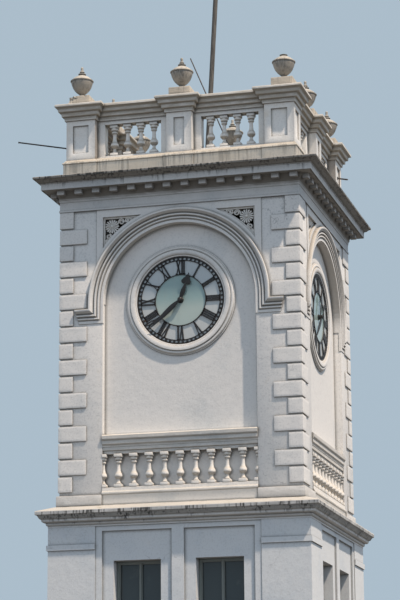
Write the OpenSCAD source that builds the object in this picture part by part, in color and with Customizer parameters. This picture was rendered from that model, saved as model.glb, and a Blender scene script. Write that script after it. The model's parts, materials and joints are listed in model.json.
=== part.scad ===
// Square clock tower in lime-washed stucco over brick, in millimetres.
// The origin is the centre of the footprint at ground level, +Z is up and the front looks along -Y.
// Side 0 is the front, side 1 the right (+X), side 2 the back and side 3 the left.

/* [Lower stage] */
// Width of the lower stage over its plain wall faces
base_w = 4944; // [4880:2:5080]
// Thickness of the lower stage walls
base_wall_t = 600; // [560:10:640]
// Width of a corner pilaster of the lower stage
base_pilaster_w = 900; // [800:10:960]
// How far the corner pilasters stand in front of the walls
base_pilaster_proj = 15; // [10:1:30]
// Height of the stone plinth at the ground
ground_plinth_h = 620; // [400:10:800]
// How far the ground plinth stands in front of the walls
ground_plinth_proj = 50; // [30:5:80]
// Height of the bottom of the capital bands on the corner pilasters
capital_z = 6314; // [6250:1:6350]
// Height of the capital bands
capital_h = 99; // [70:1:130]
// Height of the first floor above the ground
first_floor_z = 3400; // [3300:10:3500]
// Thickness of every floor slab
floor_t = 180; // [140:5:220]
// Width of the entrance doorway
door_w = 1500; // [1200:10:1600]
// Height of the entrance doorway
door_h = 2450; // [2200:10:2500]
// Thickness of the door leaves
door_t = 60; // [45:1:80]
// Width of a window opening
window_w = 900; // [700:10:1000]
// Height of the window sills
window_sill_z = 4250; // [4150:10:4400]
// Height of a window opening
window_h = 1850; // [1500:10:1900]
// Distance of a window's axis from the middle of its wall
window_x = 780; // [760:5:800]
// Width of the sunk panel around a window
panel_w = 1330; // [1250:10:1400]
// Height of the top edge of the sunk panels
panel_top_z = 6650; // [6500:10:6660]
// Depth of the sunk panels
panel_d = 40; // [20:1:60]
// Width of a window frame's members
window_bar = 60; // [40:1:80]
// Thickness of the window panes
pane_t = 6; // [4:1:10]

/* [Lower cornice] */
// Height of the bottom of the lower cornice
low_cornice_z = 6740; // [6720:5:6760]
// Height of the clock room floor, where the lower cornice meets the clock stage
clock_floor_z = 7140; // [7120:5:7160]
// How far the tip of the lower cornice stands in front of the corner pilasters
low_cornice_proj = 199; // [180:1:220]

/* [Clock stage] */
// Width of the clock stage over its plain plaster
stage_w = 4650; // [4600:2:4700]
// Width of a corner pier
pier_w = 835; // [820:5:850]
// Depth of the arched recess behind the plain plaster
recess_d = 155; // [140:5:170]
// Thickness of the wall behind the recess
clock_wall_t = 450; // [400:10:480]
// Height of the pier plinths
pier_plinth_h = 200; // [170:5:225]
// How far the pier plinths stand in front of the quoins
pier_plinth_proj = 26; // [15:1:35]
// Number of quoin courses
quoin_count = 17; // [17:1:17]
// Height from one quoin joint to the next
quoin_pitch = 317.6; // [316:0.2:318.4]
// Height of the lowest quoin's bottom edge above the clock room floor
quoin_start = 268; // [250:2:280]
// Length of a long quoin on its face
quoin_long = 545; // [500:5:570]
// Length of a short quoin on its face
quoin_short = 277; // [240:1:310]
// How far the quoins stand in front of the plain plaster
quoin_proj = 25; // [15:1:32]
// Height of the open joint between two quoins
quoin_gap = 30; // [20:1:45]

/* [Arch and dial] */
// Height of the dial's centre
dial_z = 10980; // [10940:5:11020]
// Inner radius of the archivolt
arch_r = 1480; // [1460:5:1485]
// Radial width of the archivolt mouldings
archivolt_w = 277; // [250:1:290]
// Height of the lower edge of the label returns
label_z = 10600; // [10560:5:10640]
// Reach of the label returns from the middle, on the front and back
label_reach = 2030; // [1980:5:2040]
// Reach of the label returns beside a long quoin, on the left and right
label_side_reach = 1772; // [1765:1:1778]
// Radius of the round opening in the wall behind the dial
dial_hole_r = 720; // [650:5:760]
// Outer radius of the iron dial
dial_r = 841; // [830:1:846]
// Inner radius of the outer iron ring, the edge of the minute track
minute_r = 765; // [750:1:780]
// Outer radius of the inner iron ring
hour_ring_r = 500; // [480:1:520]
// Width of the inner iron ring and of the minute circle
ring_w = 16; // [10:1:22]
// Thickness of the iron dial
dial_iron_t = 20; // [12:1:24]
// Width of a numeral's stroke
stroke_w = 25; // [15:1:30]
// Thickness of the dial glass
dial_glass_t = 12; // [8:1:14]
// Outer radius of the stucco ring around the dial
surround_r = 1060; // [1030:1:1080]
// How far the stucco ring stands in front of the recess wall
surround_proj = 66; // [55:1:80]
// Length of the minute hand from the pivot
minute_hand_l = 800; // [740:5:825]
// Length of the hour hand from the pivot
hour_hand_l = 540; // [500:5:560]
// Thickness of a hand's blade
hand_t = 12; // [8:1:14]
// Radius of the arbor that carries the hands
arbor_r = 18; // [14:0.5:22]
// Radial running clearance between a hand's boss and the arbor
arbor_clear = 0.3; // [0.2:0.05:0.5]
// Clear distance between the layers of iron and the hands
hand_gap = 18; // [14:1:22]
// Clockwise angle of the minute hands at rest
minute_angle = 228; // [0:1:359]
// Clockwise angle of the hour hands at rest
hour_angle = 19; // [0:1:359]

/* [Spandrel grilles] */
// How far the raised field around the arch stands in front of the plain plaster
field_proj = 12; // [8:1:20]
// Distance from the middle to the outer edges of the raised field
field_half = 1612; // [1600:2:1640]
// Radius of the curved lower edge of a spandrel opening
spandrel_r = 1840; // [1820:5:1880]
// Height of the straight top edge of the spandrel openings
spandrel_top_z = 12670; // [12640:5:12690]
// Radius of the daisy rosette in a grille
rosette_r = 136; // [120:1:140]
// Thickness of a spandrel grille
grille_t = 30; // [20:1:40]
// Width of a grille's rim and of the scrolls' bars
grille_bar = 24; // [20:1:28]
// How far a grille lies behind the plain plaster
grille_inset = 70; // [50:5:90]

/* [Blind balustrade] */
// Height of the top of the blind balustrade's rail
blind_rail_z = 8460; // [8440:5:8480]
// Height of the blind balustrade's rail
blind_rail_h = 360; // [330:5:380]
// Height of the top of the blind balustrade's base
blind_base_z = 7470; // [7450:5:7500]
// Distance from one blind baluster to the next
blind_pitch = 298; // [294:1:298]
// Number of spaces between the blind balusters of one side
blind_spaces = 10; // [10:1:10]

/* [Main cornice] */
// Height of the bottom of the main cornice, where its string meets the quoins
main_cornice_z = 12820; // [12810:5:12830]
// Height of the main cornice's top edge
main_tip_z = 13450; // [13430:5:13470]
// How far the tip of the main cornice stands in front of the quoins
main_cornice_proj = 426; // [400:2:450]
// How far the corona stands in front of the quoins
corona_proj = 290; // [270:2:310]
// Number of dentils on each side
dentil_count = 14; // [14:1:14]
// Distance from one dentil to the next
dentil_pitch = 351; // [345:1:353]
// Width of a dentil
dentil_w = 143; // [120:1:160]
// Height of a dentil
dentil_h = 100; // [90:1:130]

/* [Parapet] */
// Width over the faces of the parapet's base course
parapet_w = 4644; // [4600:2:4680]
// Thickness of the parapet's base course
parapet_t = 420; // [400:5:460]
// Height of the top of the parapet's base course
parapet_base_z = 13883; // [13870:1:13900]
// Distance from the tower's axis to the pedestals' outer faces
pedestal_face = 2260; // [2250:1:2270]
// Width of a corner pedestal
corner_pedestal_w = 580; // [560:5:600]
// Width of a middle pedestal
middle_pedestal_w = 500; // [480:5:520]
// Depth of the sunk panels in the pedestals
pedestal_panel_d = 20; // [12:1:30]
// Height of the top of the pedestals' shafts
shaft_top_z = 14674; // [14660:1:14690]
// Height of the coping's tip
coping_tip_z = 14970; // [14955:1:14985]
// Height of the top of the coping, under the urns
coping_top_z = 15040; // [15030:1:15060]
// How far the coping stands in front of a pedestal's shaft
coping_proj = 188; // [170:1:200]
// How far the bays' walls lie behind the pedestals' faces
bay_setback = 170; // [150:5:190]
// Thickness of the bays' walls and balusters' base
bay_t = 200; // [180:5:230]
// Clear width between a bay's end strips
bay_open_w = 1130; // [1100:5:1140]
// Height of the bottom of a bay's opening
bay_open_z = 13965; // [13950:1:13980]
// Height of a parapet baluster
bay_open_h = 635; // [620:1:650]
// Number of balusters in a bay
bay_balusters = 4; // [4:1:4]
// Distance from one parapet baluster to the next
bay_pitch = 265; // [255:1:275]
// Height of an urn's square base block
urn_block_h = 160; // [140:5:180]
// Width of an urn's square base block
urn_block_w = 450; // [420:5:460]
// Radius of an urn's bowl
urn_r = 228; // [210:1:235]
// Height of an urn from its block to the tip of its finial
urn_h = 650; // [620:5:680]
// Height of the broken finial's stump above its block
broken_urn_h = 512; // [500:1:525]

/* [Roof and rods] */
// Height of the flat roof
roof_z = 13450; // [13420:5:13470]
// Radius of the timber flagpole
pole_r = 52; // [40:1:60]
// Height of the flagpole's top
pole_top_z = 18100; // [17800:10:18400]
// Lean of the flagpole from the vertical in degrees
pole_lean = 3.3; // [2:0.1:4]
// Radius of the thin iron rod that leans on the flagpole
stay_r = 12; // [8:0.5:15]
// Height of the upper end of the leaning rod
stay_top_z = 16520; // [16400:10:16600]
// Lean of the leaning rod from the vertical in degrees
stay_lean = 22.3; // [20:0.1:25]
// Height of the foot of the iron rod on the left side of the parapet
bracket_z = 14200; // [14100:10:14300]
// Radius of the iron rod on the left side of the parapet
bracket_r = 14; // [10:0.5:18]
// Length of the iron rod on the left side of the parapet
bracket_l = 1120; // [1000:10:1200]
// Slope of the iron rod on the left side in degrees
bracket_slope = 12; // [8:0.5:16]
// Radius of the iron stub on the right side of the parapet
stub_r = 17; // [12:0.5:20]
// Distance of the iron stub behind the middle of the right side
stub_y = 1970; // [1900:10:2040]
// Height of the foot of the iron stub
stub_z = 14355; // [14280:5:14400]
// Length of the iron stub
stub_l = 210; // [150:5:260]
// Droop of the iron stub in degrees
stub_droop = 12; // [5:0.5:16]

/* [Hidden] */
$fn = 48;

STUCCO = "#d9d9d4";
STUCCO_SHADE = "#cfd2d2";
STONE = "#b9b2a6";
IRON = "#2b2724";
GLASS = "#b9cfc6";
TIMBER = "#5f5a52";
DOOR = "#5b6b63";

// Reach of helper prisms, beyond the whole tower
far = 4000;
top = 19000;
// Overlap that makes two shapes of one solid merge
eps = 1;

base_half = base_w / 2;
base_inner = base_half - base_wall_t;
pilaster_face = base_half + base_pilaster_proj;
stage_half = stage_w / 2;
quoin_face = stage_half + quoin_proj;
recess_half = stage_half - pier_w;
recess_face = stage_half - recess_d;
clock_inner = recess_face - clock_wall_t;
archivolt_r = arch_r + archivolt_w;
glass_front = recess_face + dial_glass_t;
iron_front = glass_front + dial_iron_t;
hour_back = iron_front + hand_gap;
minute_back = hour_back + hand_t + hand_gap;
boss_gap = 5.5;
cap_gap = 0.5;
parapet_half = parapet_w / 2;
corner_pedestal_c = pedestal_face - corner_pedestal_w / 2;
middle_pedestal_c = pedestal_face - middle_pedestal_w / 2;
bay_face = pedestal_face - bay_setback;
bay_c = bay_face - bay_t / 2;
bay_start = middle_pedestal_w / 2;
bay_end = pedestal_face - corner_pedestal_w;
bay_mid = (bay_start + bay_end) / 2;
cornice_top_z = main_tip_z + 50;
// Azimuth of the plane in which the flagpole and the thin rod lean
lean_azimuth = 13.6;

// Turns a shape that was made for the front to side k
module side(k) rotate([0, 0, 90 * k]) children();

// Runs on all four sides
module sides() for (k = [0:3]) side(k) children();

// A plate of the front elevation: 2D (x, z) from the distance y0 outwards by t
module plate(y0, t) translate([0, -y0, 0]) rotate([90, 0, 0]) linear_extrude(t) children();

// A body turned about the axis of the front dial: 2D (radius, distance from the tower's axis)
module dial_turn(angle = 360) translate([0, 0, dial_z]) rotate([90, 0, 0])
  rotate_extrude(angle = angle, $fn = 96) children();

// A moulding along the front: points (distance from the axis, height) over 2 * half in x
module run(points, half) rotate([90, 0, 90])
  linear_extrude(2 * half, center = true) polygon([for (p = points) [-p[0], p[1]]]);

// A moulding along the front whose ends are mitred at the corners
module mitred_run(points) intersection() {
  run(points, far);
  linear_extrude(top) polygon([[0, 0], [-far, -far], [far, -far]]);
}

// A square moulded block: half profile (distance from its middle, height) on all four faces
module square_moulding(points) {
  outline = concat(points, [for (i = [len(points) - 1:-1:0]) [-points[i][0], points[i][1]]]);
  intersection() {
    rotate([90, 0, 0]) linear_extrude(2 * far, center = true) polygon(outline);
    rotate([90, 0, 90]) linear_extrude(2 * far, center = true) polygon(outline);
  }
}

// One wall of the lower stage, its windows and sunk panels cut out, between the pilasters
module base_wall(k, door) {
  half = base_half - base_pilaster_w;
  panel_z = window_sill_z - 250;
  side(k) difference() {
    union() {
      translate([-half, -base_half, 0]) cube([2 * half, base_wall_t, low_cornice_z]);
      translate([-half, -base_half - ground_plinth_proj, 0])
        cube([2 * half, ground_plinth_proj + eps, ground_plinth_h]);
    }
    for (s = [-1, 1]) {
      translate([s * window_x - panel_w / 2, -base_half - eps, panel_z])
        cube([panel_w, panel_d + eps, panel_top_z - panel_z]);
      translate([s * window_x - window_w / 2, -base_half - eps, window_sill_z])
        cube([window_w, base_wall_t + 2 * eps, window_h]);
    }
    if (door) translate([-door_w / 2, -base_half - ground_plinth_proj - eps, floor_t])
      cube([door_w, base_wall_t + ground_plinth_proj + 2 * eps, door_h]);
  }
}

// The four corner pilasters of the lower stage with two capital bands and the plinth
module base_pilasters() color(STUCCO_SHADE) sides() {
  cap_proj = 25;
  inner = base_half - base_pilaster_w;
  difference() {
    union() {
      translate([inner, -pilaster_face, 0])
        cube([pilaster_face - inner, pilaster_face - inner, low_cornice_z]);
      translate([inner, -pilaster_face - cap_proj, capital_z])
        cube([pilaster_face + cap_proj - inner, pilaster_face + cap_proj - inner, capital_h]);
      translate([inner, -pilaster_face - ground_plinth_proj, 0])
        cube([pilaster_face + ground_plinth_proj - inner, pilaster_face + ground_plinth_proj - inner,
              ground_plinth_h]);
    }
    translate([inner - eps, -base_inner, -eps])
      cube([base_inner - inner + eps, far, low_cornice_z + 2 * eps]);
  }
}

// The closed pair of door leaves with their frame in the front doorway
module entrance_door() color(DOOR) {
  frame_w = 80;
  frame_d = 120;
  y0 = base_half - 200;
  plate(y0 - frame_d, frame_d) translate([0, floor_t]) difference() {
    translate([-door_w / 2, 0]) square([door_w, door_h]);
    translate([-door_w / 2 + frame_w, -eps]) square([door_w - 2 * frame_w, door_h - frame_w + eps]);
  }
  for (s = [-1, 1]) plate(y0 - frame_d + 30, door_t) translate([0, floor_t])
    translate([s > 0 ? 2 : -door_w / 2 + frame_w, 0])
    square([door_w / 2 - frame_w - 2, door_h - frame_w]);
}

// Places one child on each window axis of the four sides
module windows() sides() for (s = [-1, 1]) translate([s * window_x, 0, 0]) children();

window_frame_face = base_half - 250;
window_frame_t = 70;

// The timber frames of the windows with one mullion and one transom
module window_frames() color(TIMBER) windows() plate(window_frame_face - window_frame_t, window_frame_t)
  translate([-window_w / 2, window_sill_z]) difference() {
    square([window_w, window_h]);
    for (i = [0, 1], j = [0, 1])
      translate([window_bar + i * (window_w - window_bar) / 2,
                 window_bar + j * (window_h - window_bar) / 2])
      square([(window_w - 3 * window_bar) / 2, (window_h - 3 * window_bar) / 2]);
  }

// The panes, one sheet behind each window frame
module window_panes() color(GLASS) windows()
  plate(window_frame_face - window_frame_t - pane_t, pane_t)
  translate([-window_w / 2, window_sill_z]) square([window_w, window_h]);

// A square floor slab inside the walls
module slab(half, z, t) translate([-half, -half, z - t]) cube([2 * half, 2 * half, t]);

// The ground floor slab inside the lower stage
module ground_floor() color(STONE) slab(base_inner, floor_t, floor_t);

// The first floor slab
module first_floor() color(STONE) slab(base_inner, first_floor_z, floor_t);

// The floor of the clock room
module clock_room_floor() color(STONE) slab(base_inner, clock_floor_z, floor_t);

// One side of the lower cornice with its sloped weathering
module lower_cornice(k) color(STUCCO) side(k) {
  tip = pilaster_face + low_cornice_proj;
  crown = tip - 101;
  bed = pilaster_face + 25;
  line = pilaster_face + 5;
  mitred_run([
    [base_inner, low_cornice_z], [line, low_cornice_z],
    [line, low_cornice_z + 30], [bed, low_cornice_z + 38],
    [bed, low_cornice_z + 88], [crown, low_cornice_z + 110], [crown + 12, low_cornice_z + 150],
    [tip - 40, low_cornice_z + 200], [tip - 8, low_cornice_z + 250], [tip, clock_floor_z - 110],
    [tip - 6, clock_floor_z - 100], [quoin_face + pier_plinth_proj, clock_floor_z],
    [base_inner, clock_floor_z]
  ]);
}

// The four corner piers with their plinths and their long and short quoins
module corner_piers() color(STUCCO) for (k = [0:3]) side(k) corner_pier(k);

module corner_pier(k) {
  h = main_cornice_z - clock_floor_z;
  translate([recess_half, -stage_half, clock_floor_z]) cube([pier_w, pier_w, h]);
  plinth = quoin_face + pier_plinth_proj;
  translate([recess_half, -plinth, clock_floor_z])
    cube([plinth - recess_half, plinth - recess_half, pier_plinth_h]);
  for (i = [0:quoin_count - 1]) {
    // The front and back faces show a short quoin in the courses where the sides show a long one
    front_long = (i + k) % 2 == 1;
    lx = front_long ? quoin_long : quoin_short;
    ly = front_long ? quoin_short : quoin_long;
    z = clock_floor_z + quoin_start + i * quoin_pitch;
    next = i == quoin_count - 1 ? main_cornice_z : z + quoin_pitch - quoin_gap;
    translate([quoin_face - lx, -quoin_face, z]) cube([lx, ly, next - z]);
  }
}

// 2D region of one spandrel opening, on the right of the front
module spandrel_2d(grow = 0) intersection() {
  translate([0, dial_z]) square([recess_half + grow, spandrel_top_z + grow - dial_z]);
  difference() {
    translate([0, dial_z]) square([far, far]);
    translate([0, dial_z]) circle(spandrel_r - grow, $fn = 360);
  }
}

// The walls behind the recesses, with the round dial openings and the spandrel openings
module clock_walls() color(STUCCO_SHADE) sides() plate(clock_inner, clock_wall_t) difference() {
  translate([-recess_half, clock_floor_z]) square([2 * recess_half, main_cornice_z - clock_floor_z]);
  translate([0, dial_z]) circle(dial_hole_r, $fn = 96);
  for (s = [0, 1]) mirror([s, 0]) spandrel_2d();
}

// Section of the archivolt: (distance from the inner edge, distance from the tower's axis)
function archivolt_section() = [
  [0, stage_half - 40], [0, stage_half + 10], [45, stage_half + 10], [62, stage_half + 26],
  [105, stage_half + 26], [118, stage_half + 40], [165, stage_half + 44], [195, stage_half + 58],
  [235, stage_half + 78], [archivolt_w, stage_half + 84], [archivolt_w, stage_half - 40]
];

// Height above the dial's centre at which the raised field meets the archivolt
field_foot = sqrt(pow(archivolt_r, 2) - pow(field_half, 2));

// 2D arch opening and spandrel openings of an arched head
module arch_cuts_2d() {
  translate([0, dial_z]) circle(arch_r, $fn = 96);
  for (s = [0, 1]) mirror([s, 0]) spandrel_2d();
}

// One arched head over a recess, with its archivolt and the label returns at the springing
module arch_head(k) color(STUCCO) side(k) {
  reach = k % 2 == 0 ? label_reach : label_side_reach;
  section = archivolt_section();
  label_top = label_z + archivolt_w;
  plate(recess_face, recess_d) difference() {
    translate([-recess_half, dial_z]) square([2 * recess_half, main_cornice_z - dial_z]);
    arch_cuts_2d();
  }
  plate(stage_half, field_proj) difference() {
    translate([-field_half, dial_z]) square([2 * field_half, main_cornice_z - dial_z]);
    arch_cuts_2d();
    // Under the archivolt's outer edge the raised field stops
    translate([-far, dial_z]) square([2 * far, field_foot]);
  }
  difference() {
    union() {
      dial_turn(180) polygon([for (p = section) [arch_r + p[0], p[1]]]);
      for (s = [0, 1]) mirror([s, 0, 0]) {
        // The straight leg below the springing, mitred at its foot
        intersection() {
          translate([0, 0, label_z]) linear_extrude(dial_z - label_z + eps)
            polygon([for (p = section) [arch_r + p[0], -p[1]]]);
          plate(0, far) polygon([[arch_r, label_z], [archivolt_r, label_top], [archivolt_r, dial_z + eps],
                                 [arch_r, dial_z + eps]]);
        }
        // The label that turns outwards from the leg's foot
        intersection() {
          run([for (p = section) [p[1], label_z + p[0]]], far);
          plate(0, far) polygon([[arch_r, label_z], [archivolt_r, label_top], [reach, label_top],
                                 [reach - (reach - archivolt_r) * 0.27, label_z]]);
        }
      }
    }
    // The piers fill the space behind the plain plaster on both sides of the recess
    for (s = [0, 1]) mirror([s, 0, 0])
      translate([recess_half, -stage_half, label_z - eps]) cube([far, stage_half, top]);
  }
}

// Centres and radii of the scrolls beside the rosette, in rosette radii
SCROLLS = [[-1.36, 0.60, 0.46], [-2.15, 0.82, 0.32], [-2.72, 1.01, 0.22],
           [0.46, -1.43, 0.41], [0.72, -2.15, 0.28], [0.94, -2.66, 0.19]];

// The pierced plates in the spandrels: a rim, a rosette disc and rings for the scrolls
module spandrel_grilles() color(STUCCO) sides() for (s = [0, 1]) mirror([s, 0, 0])
  plate(stage_half - grille_inset - grille_t, grille_t) intersection() {
    spandrel_2d();
    union() {
      difference() {
        spandrel_2d(eps);
        spandrel_2d(-grille_bar);
      }
      translate([recess_half - 1.25 * rosette_r, spandrel_top_z - 1.31 * rosette_r]) {
        circle(rosette_r);
        for (c = SCROLLS) translate(rosette_r * [c[0], c[1]]) difference() {
          circle(rosette_r * c[2] + grille_bar / 2);
          circle(rosette_r * c[2] - grille_bar / 2);
        }
      }
    }
  }

// Radius and height steps of a turned baluster, as shares of its belly radius and its height
BALUSTER = [[0, 0], [0.80, 0], [0.80, 0.03], [0.55, 0.07], [0.36, 0.14], [0.42, 0.19], [0.80, 0.24],
            [1, 0.31], [0.92, 0.38], [0.60, 0.46], [0.46, 0.58], [0.44, 0.70], [0.52, 0.78], [0.72, 0.80],
            [0.72, 0.84], [0.60, 0.86], [0.86, 0.91], [0.86, 1], [0, 1]];

// A turned baluster with square plinth and cap, standing on the origin
module baluster(h, r, w) {
  block = 0.10 * h;
  translate([0, 0, block - eps]) rotate_extrude($fn = 32)
    polygon([for (p = BALUSTER) [p[0] * r, p[1] * (h - 2 * block + 2 * eps)]]);
  for (z = [0, h - block]) translate([-w / 2, -w / 2, z]) cube([w, w, block]);
}

// The blind balustrades at the foot of the recesses
module blind_balustrades() color(STUCCO) sides() {
  rail_bottom = blind_rail_z - blind_rail_h;
  h = rail_bottom - blind_base_z;
  belly = 74;
  line = recess_face + 90;
  intersection() {
    translate([-recess_half, -far, clock_floor_z])
      cube([2 * recess_half, far - recess_face, blind_rail_z - clock_floor_z]);
    union() {
      run([[recess_face - eps, clock_floor_z], [stage_half + 20, clock_floor_z],
           [stage_half + 20, clock_floor_z + 195], [stage_half + 36, clock_floor_z + 205],
           [stage_half + 36, clock_floor_z + 245], [stage_half + 10, clock_floor_z + 265],
           [stage_half + 10, blind_base_z], [recess_face - eps, blind_base_z]], recess_half);
      run([[recess_face - eps, rail_bottom], [stage_half - 30, rail_bottom],
           [stage_half - 30, rail_bottom + 60],
           [stage_half - 10, rail_bottom + 70], [stage_half - 10, rail_bottom + 130],
           [stage_half + 20, rail_bottom + 190], [stage_half + 20, rail_bottom + 250],
           [stage_half + 45, blind_rail_z - 70], [stage_half + 45, blind_rail_z - 20],
           [stage_half + 20, blind_rail_z], [recess_face - eps, blind_rail_z]], recess_half);
      for (i = [0:blind_spaces])
        translate([(i - blind_spaces / 2) * blind_pitch, -line, blind_base_z - eps])
        baluster(h + 2 * eps, belly, 150);
    }
  }
}

// The moulded stucco rings around the dials
module dial_surrounds() color(STUCCO) sides() dial_turn() polygon([
  [dial_r + 9, recess_face], [dial_r + 9, recess_face + surround_proj - 30],
  [dial_r + 40, recess_face + surround_proj - 26], [dial_r + 52, recess_face + surround_proj - 6],
  [dial_r + 130, recess_face + surround_proj], [dial_r + 142, recess_face + surround_proj - 16],
  [surround_r - 22, recess_face + surround_proj - 22], [surround_r, recess_face + surround_proj - 40],
  [surround_r, recess_face]
]);

// 2D ring about the dial's centre
module ring_2d(outer, width) difference() {
  circle(outer, $fn = 96);
  circle(outer - width, $fn = 96);
}

// Strokes of the twelve numerals: I as 1, V as 5 and X as 10, read from left to right
NUMERALS = [[10, 1, 1], [1], [1, 1], [1, 1, 1], [1, 1, 1, 1], [5], [5, 1], [5, 1, 1], [5, 1, 1, 1],
            [1, 10], [10], [10, 1]];
function stroke_span(s) = stroke_w * (s == 1 ? 1.6 : s == 5 ? 4 : 4.16);
function span_sum(list, n) = n == 0 ? 0 : span_sum(list, n - 1) + stroke_span(list[n - 1]);

// 2D bar between two points of the numeral ring, given by their x at its inner and outer edges
module numeral_bar(x0, x1, y0, y1) polygon([[x0 - stroke_w / 2, y0], [x0 + stroke_w / 2, y0],
                                            [x1 + stroke_w / 2, y1], [x1 - stroke_w / 2, y1]]);

// 2D numeral that reads upright at the top of the dial
module numeral_2d(strokes) {
  y0 = hour_ring_r - ring_w / 2;
  y1 = minute_r + ring_w / 2;
  whole = span_sum(strokes, len(strokes));
  for (i = [0:len(strokes) - 1]) {
    x = span_sum(strokes, i) + stroke_span(strokes[i]) / 2 - whole / 2;
    half = stroke_span(strokes[i]) / 2 - 0.64 * stroke_w;
    if (strokes[i] == 1) numeral_bar(x, x, y0, y1);
    if (strokes[i] == 5) for (s = [-1, 1]) numeral_bar(x, x + s * half, y0, y1);
    if (strokes[i] == 10) for (s = [-1, 1]) numeral_bar(x - s * half, x + s * half, y0, y1);
  }
}

// The skeleton iron dials: minute track, numerals and inner ring
module dial_irons() color(IRON) sides() plate(glass_front, dial_iron_t) translate([0, dial_z]) {
  ring_2d(dial_r, ring_w + 6);
  ring_2d(minute_r + ring_w, ring_w);
  ring_2d(hour_ring_r, ring_w);
  for (i = [0:11]) rotate(-30 * i) {
    numeral_2d(NUMERALS[i]);
    translate([-stroke_w / 2, minute_r + ring_w / 2]) square([stroke_w, dial_r - minute_r - ring_w]);
  }
}

// The opal glass discs behind the iron dials, bored for the arbors
module dial_glasses() color(GLASS) sides() plate(recess_face, dial_glass_t) translate([0, dial_z])
  difference() {
    circle(dial_r, $fn = 96);
    circle(arbor_r + 4 + arbor_clear);
  }

hour_boss_front = hour_back + hand_t + 8;
minute_boss_back = hour_boss_front + boss_gap;
minute_boss_front = minute_back + hand_t + 8;

// The fixed arbors that carry the hands, with a flange on each face of the glass and an end cap
module dial_arbors() color(IRON) sides() dial_turn() polygon([
  [0, recess_face - 14], [60, recess_face - 14], [60, recess_face], [arbor_r + 4, recess_face],
  [arbor_r + 4, glass_front], [60, glass_front], [60, glass_front + 10], [arbor_r, glass_front + 10],
  [arbor_r, minute_boss_front + cap_gap], [arbor_r + 14, minute_boss_front + cap_gap],
  [arbor_r + 12, minute_boss_front + cap_gap + 12], [0, minute_boss_front + cap_gap + 12]
]);

// 2D leaf: widest w at the share peak of its length, from y0 to y1
module leaf(y0, y1, w, peak, steps = 12) {
  function half(t) = w / 2 * (t < peak ? sin(90 * t / peak) : cos(90 * pow((t - peak) / (1 - peak), 0.9)));
  right = [for (i = [0:steps]) [half(i / steps), y0 + (y1 - y0) * i / steps]];
  polygon(concat(right, [for (i = [steps - 1:-1:1]) [-right[i][0], right[i][1]]]));
}

// One hand of side k: boss, bore and the 2D blade in the children
module hand(k, angle, blade_back, boss_r, boss_back, boss_front) color(IRON) side(k) difference() {
  union() {
    plate(blade_back, hand_t) translate([0, dial_z]) rotate(-angle) children();
    plate(boss_back, boss_front - boss_back) translate([0, dial_z]) circle(boss_r);
  }
  plate(boss_back - eps, boss_front - boss_back + 2 * eps) translate([0, dial_z])
    circle(arbor_r + arbor_clear);
}

// A leaf shaped minute hand with a short tail
module minute_hand(k) hand(k, minute_angle, minute_back, 42, minute_boss_back, minute_boss_front) {
  leaf(-20, minute_hand_l, 98, 0.32);
  polygon([[-14, 0], [14, 0], [20, -78], [-20, -78]]);
}

// A spade shaped hour hand: a swelling shaft, two round lobes and a point with a small ball
module hour_hand(k) hand(k, hour_angle, hour_back, 50, glass_front + 10 + cap_gap, hour_boss_front) {
  lobe_r = 50;
  lobe_y = hour_hand_l - 175;
  ball_r = 11;
  tip_y = hour_hand_l - ball_r;
  leaf(-20, lobe_y, 88, 0.45);
  translate([-15, lobe_y - 110]) square([30, 120]);
  for (s = [-1, 1]) translate([s * 44, lobe_y]) circle(lobe_r);
  polygon([[-92, lobe_y + 12], [92, lobe_y + 12], [62, lobe_y + 62], [24, lobe_y + 122], [5, tip_y],
           [-5, tip_y], [-24, lobe_y + 122], [-62, lobe_y + 62]]);
  translate([0, tip_y]) circle(ball_r);
}

// One side of the main cornice with its frieze, dentils and crown moulding
module main_cornice(k) color(STUCCO) side(k) {
  tip = quoin_face + main_cornice_proj;
  corona = quoin_face + corona_proj;
  soffit = main_tip_z - 236;
  mitred_run([
    [clock_inner, main_cornice_z], [quoin_face + 12, main_cornice_z],
    [quoin_face + 12, main_cornice_z + 35], [quoin_face, main_cornice_z + 45],
    [quoin_face, main_cornice_z + 172], [quoin_face + 20, main_cornice_z + 190],
    [quoin_face + 110, soffit - 95], [corona - 40, soffit], [corona, soffit],
    [corona, soffit + 110], [corona + 14, soffit + 122], [corona + 30, soffit + 165],
    [tip - 36, soffit + 190], [tip - 4, main_tip_z - 18], [tip, main_tip_z],
    [parapet_half, cornice_top_z], [clock_inner, cornice_top_z]
  ]);
  for (i = [0:dentil_count - 1])
    translate([(i - (dentil_count - 1) / 2) * dentil_pitch - dentil_w / 2, -corona + 45, soffit - dentil_h])
    cube([dentil_w, corona - 45 - quoin_face - 60, dentil_h + eps]);
}

// The flat roof inside the main cornice
module roof_slab() color(STONE) slab(clock_inner, roof_z, floor_t);

// One side of the parapet's base course
module parapet_base(k) color(STUCCO) side(k) mitred_run([
  [parapet_half - parapet_t, cornice_top_z], [parapet_half, cornice_top_z],
  [parapet_half, parapet_base_z - 56], [parapet_half - 30, parapet_base_z - 40],
  [pedestal_face + 6, parapet_base_z], [parapet_half - parapet_t, parapet_base_z]
]);

// Coping outline from the shaft's face outwards: (projection, height)
function coping_outline() = [
  [0, shaft_top_z], [18, shaft_top_z + 19], [33, shaft_top_z + 65], [96, coping_tip_z - 160],
  [102, coping_tip_z - 125], [coping_proj - 60, coping_tip_z - 95], [coping_proj - 12, coping_tip_z - 40],
  [coping_proj, coping_tip_z - 30], [coping_proj, coping_tip_z], [coping_proj - 14, coping_tip_z + 14]
];

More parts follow.
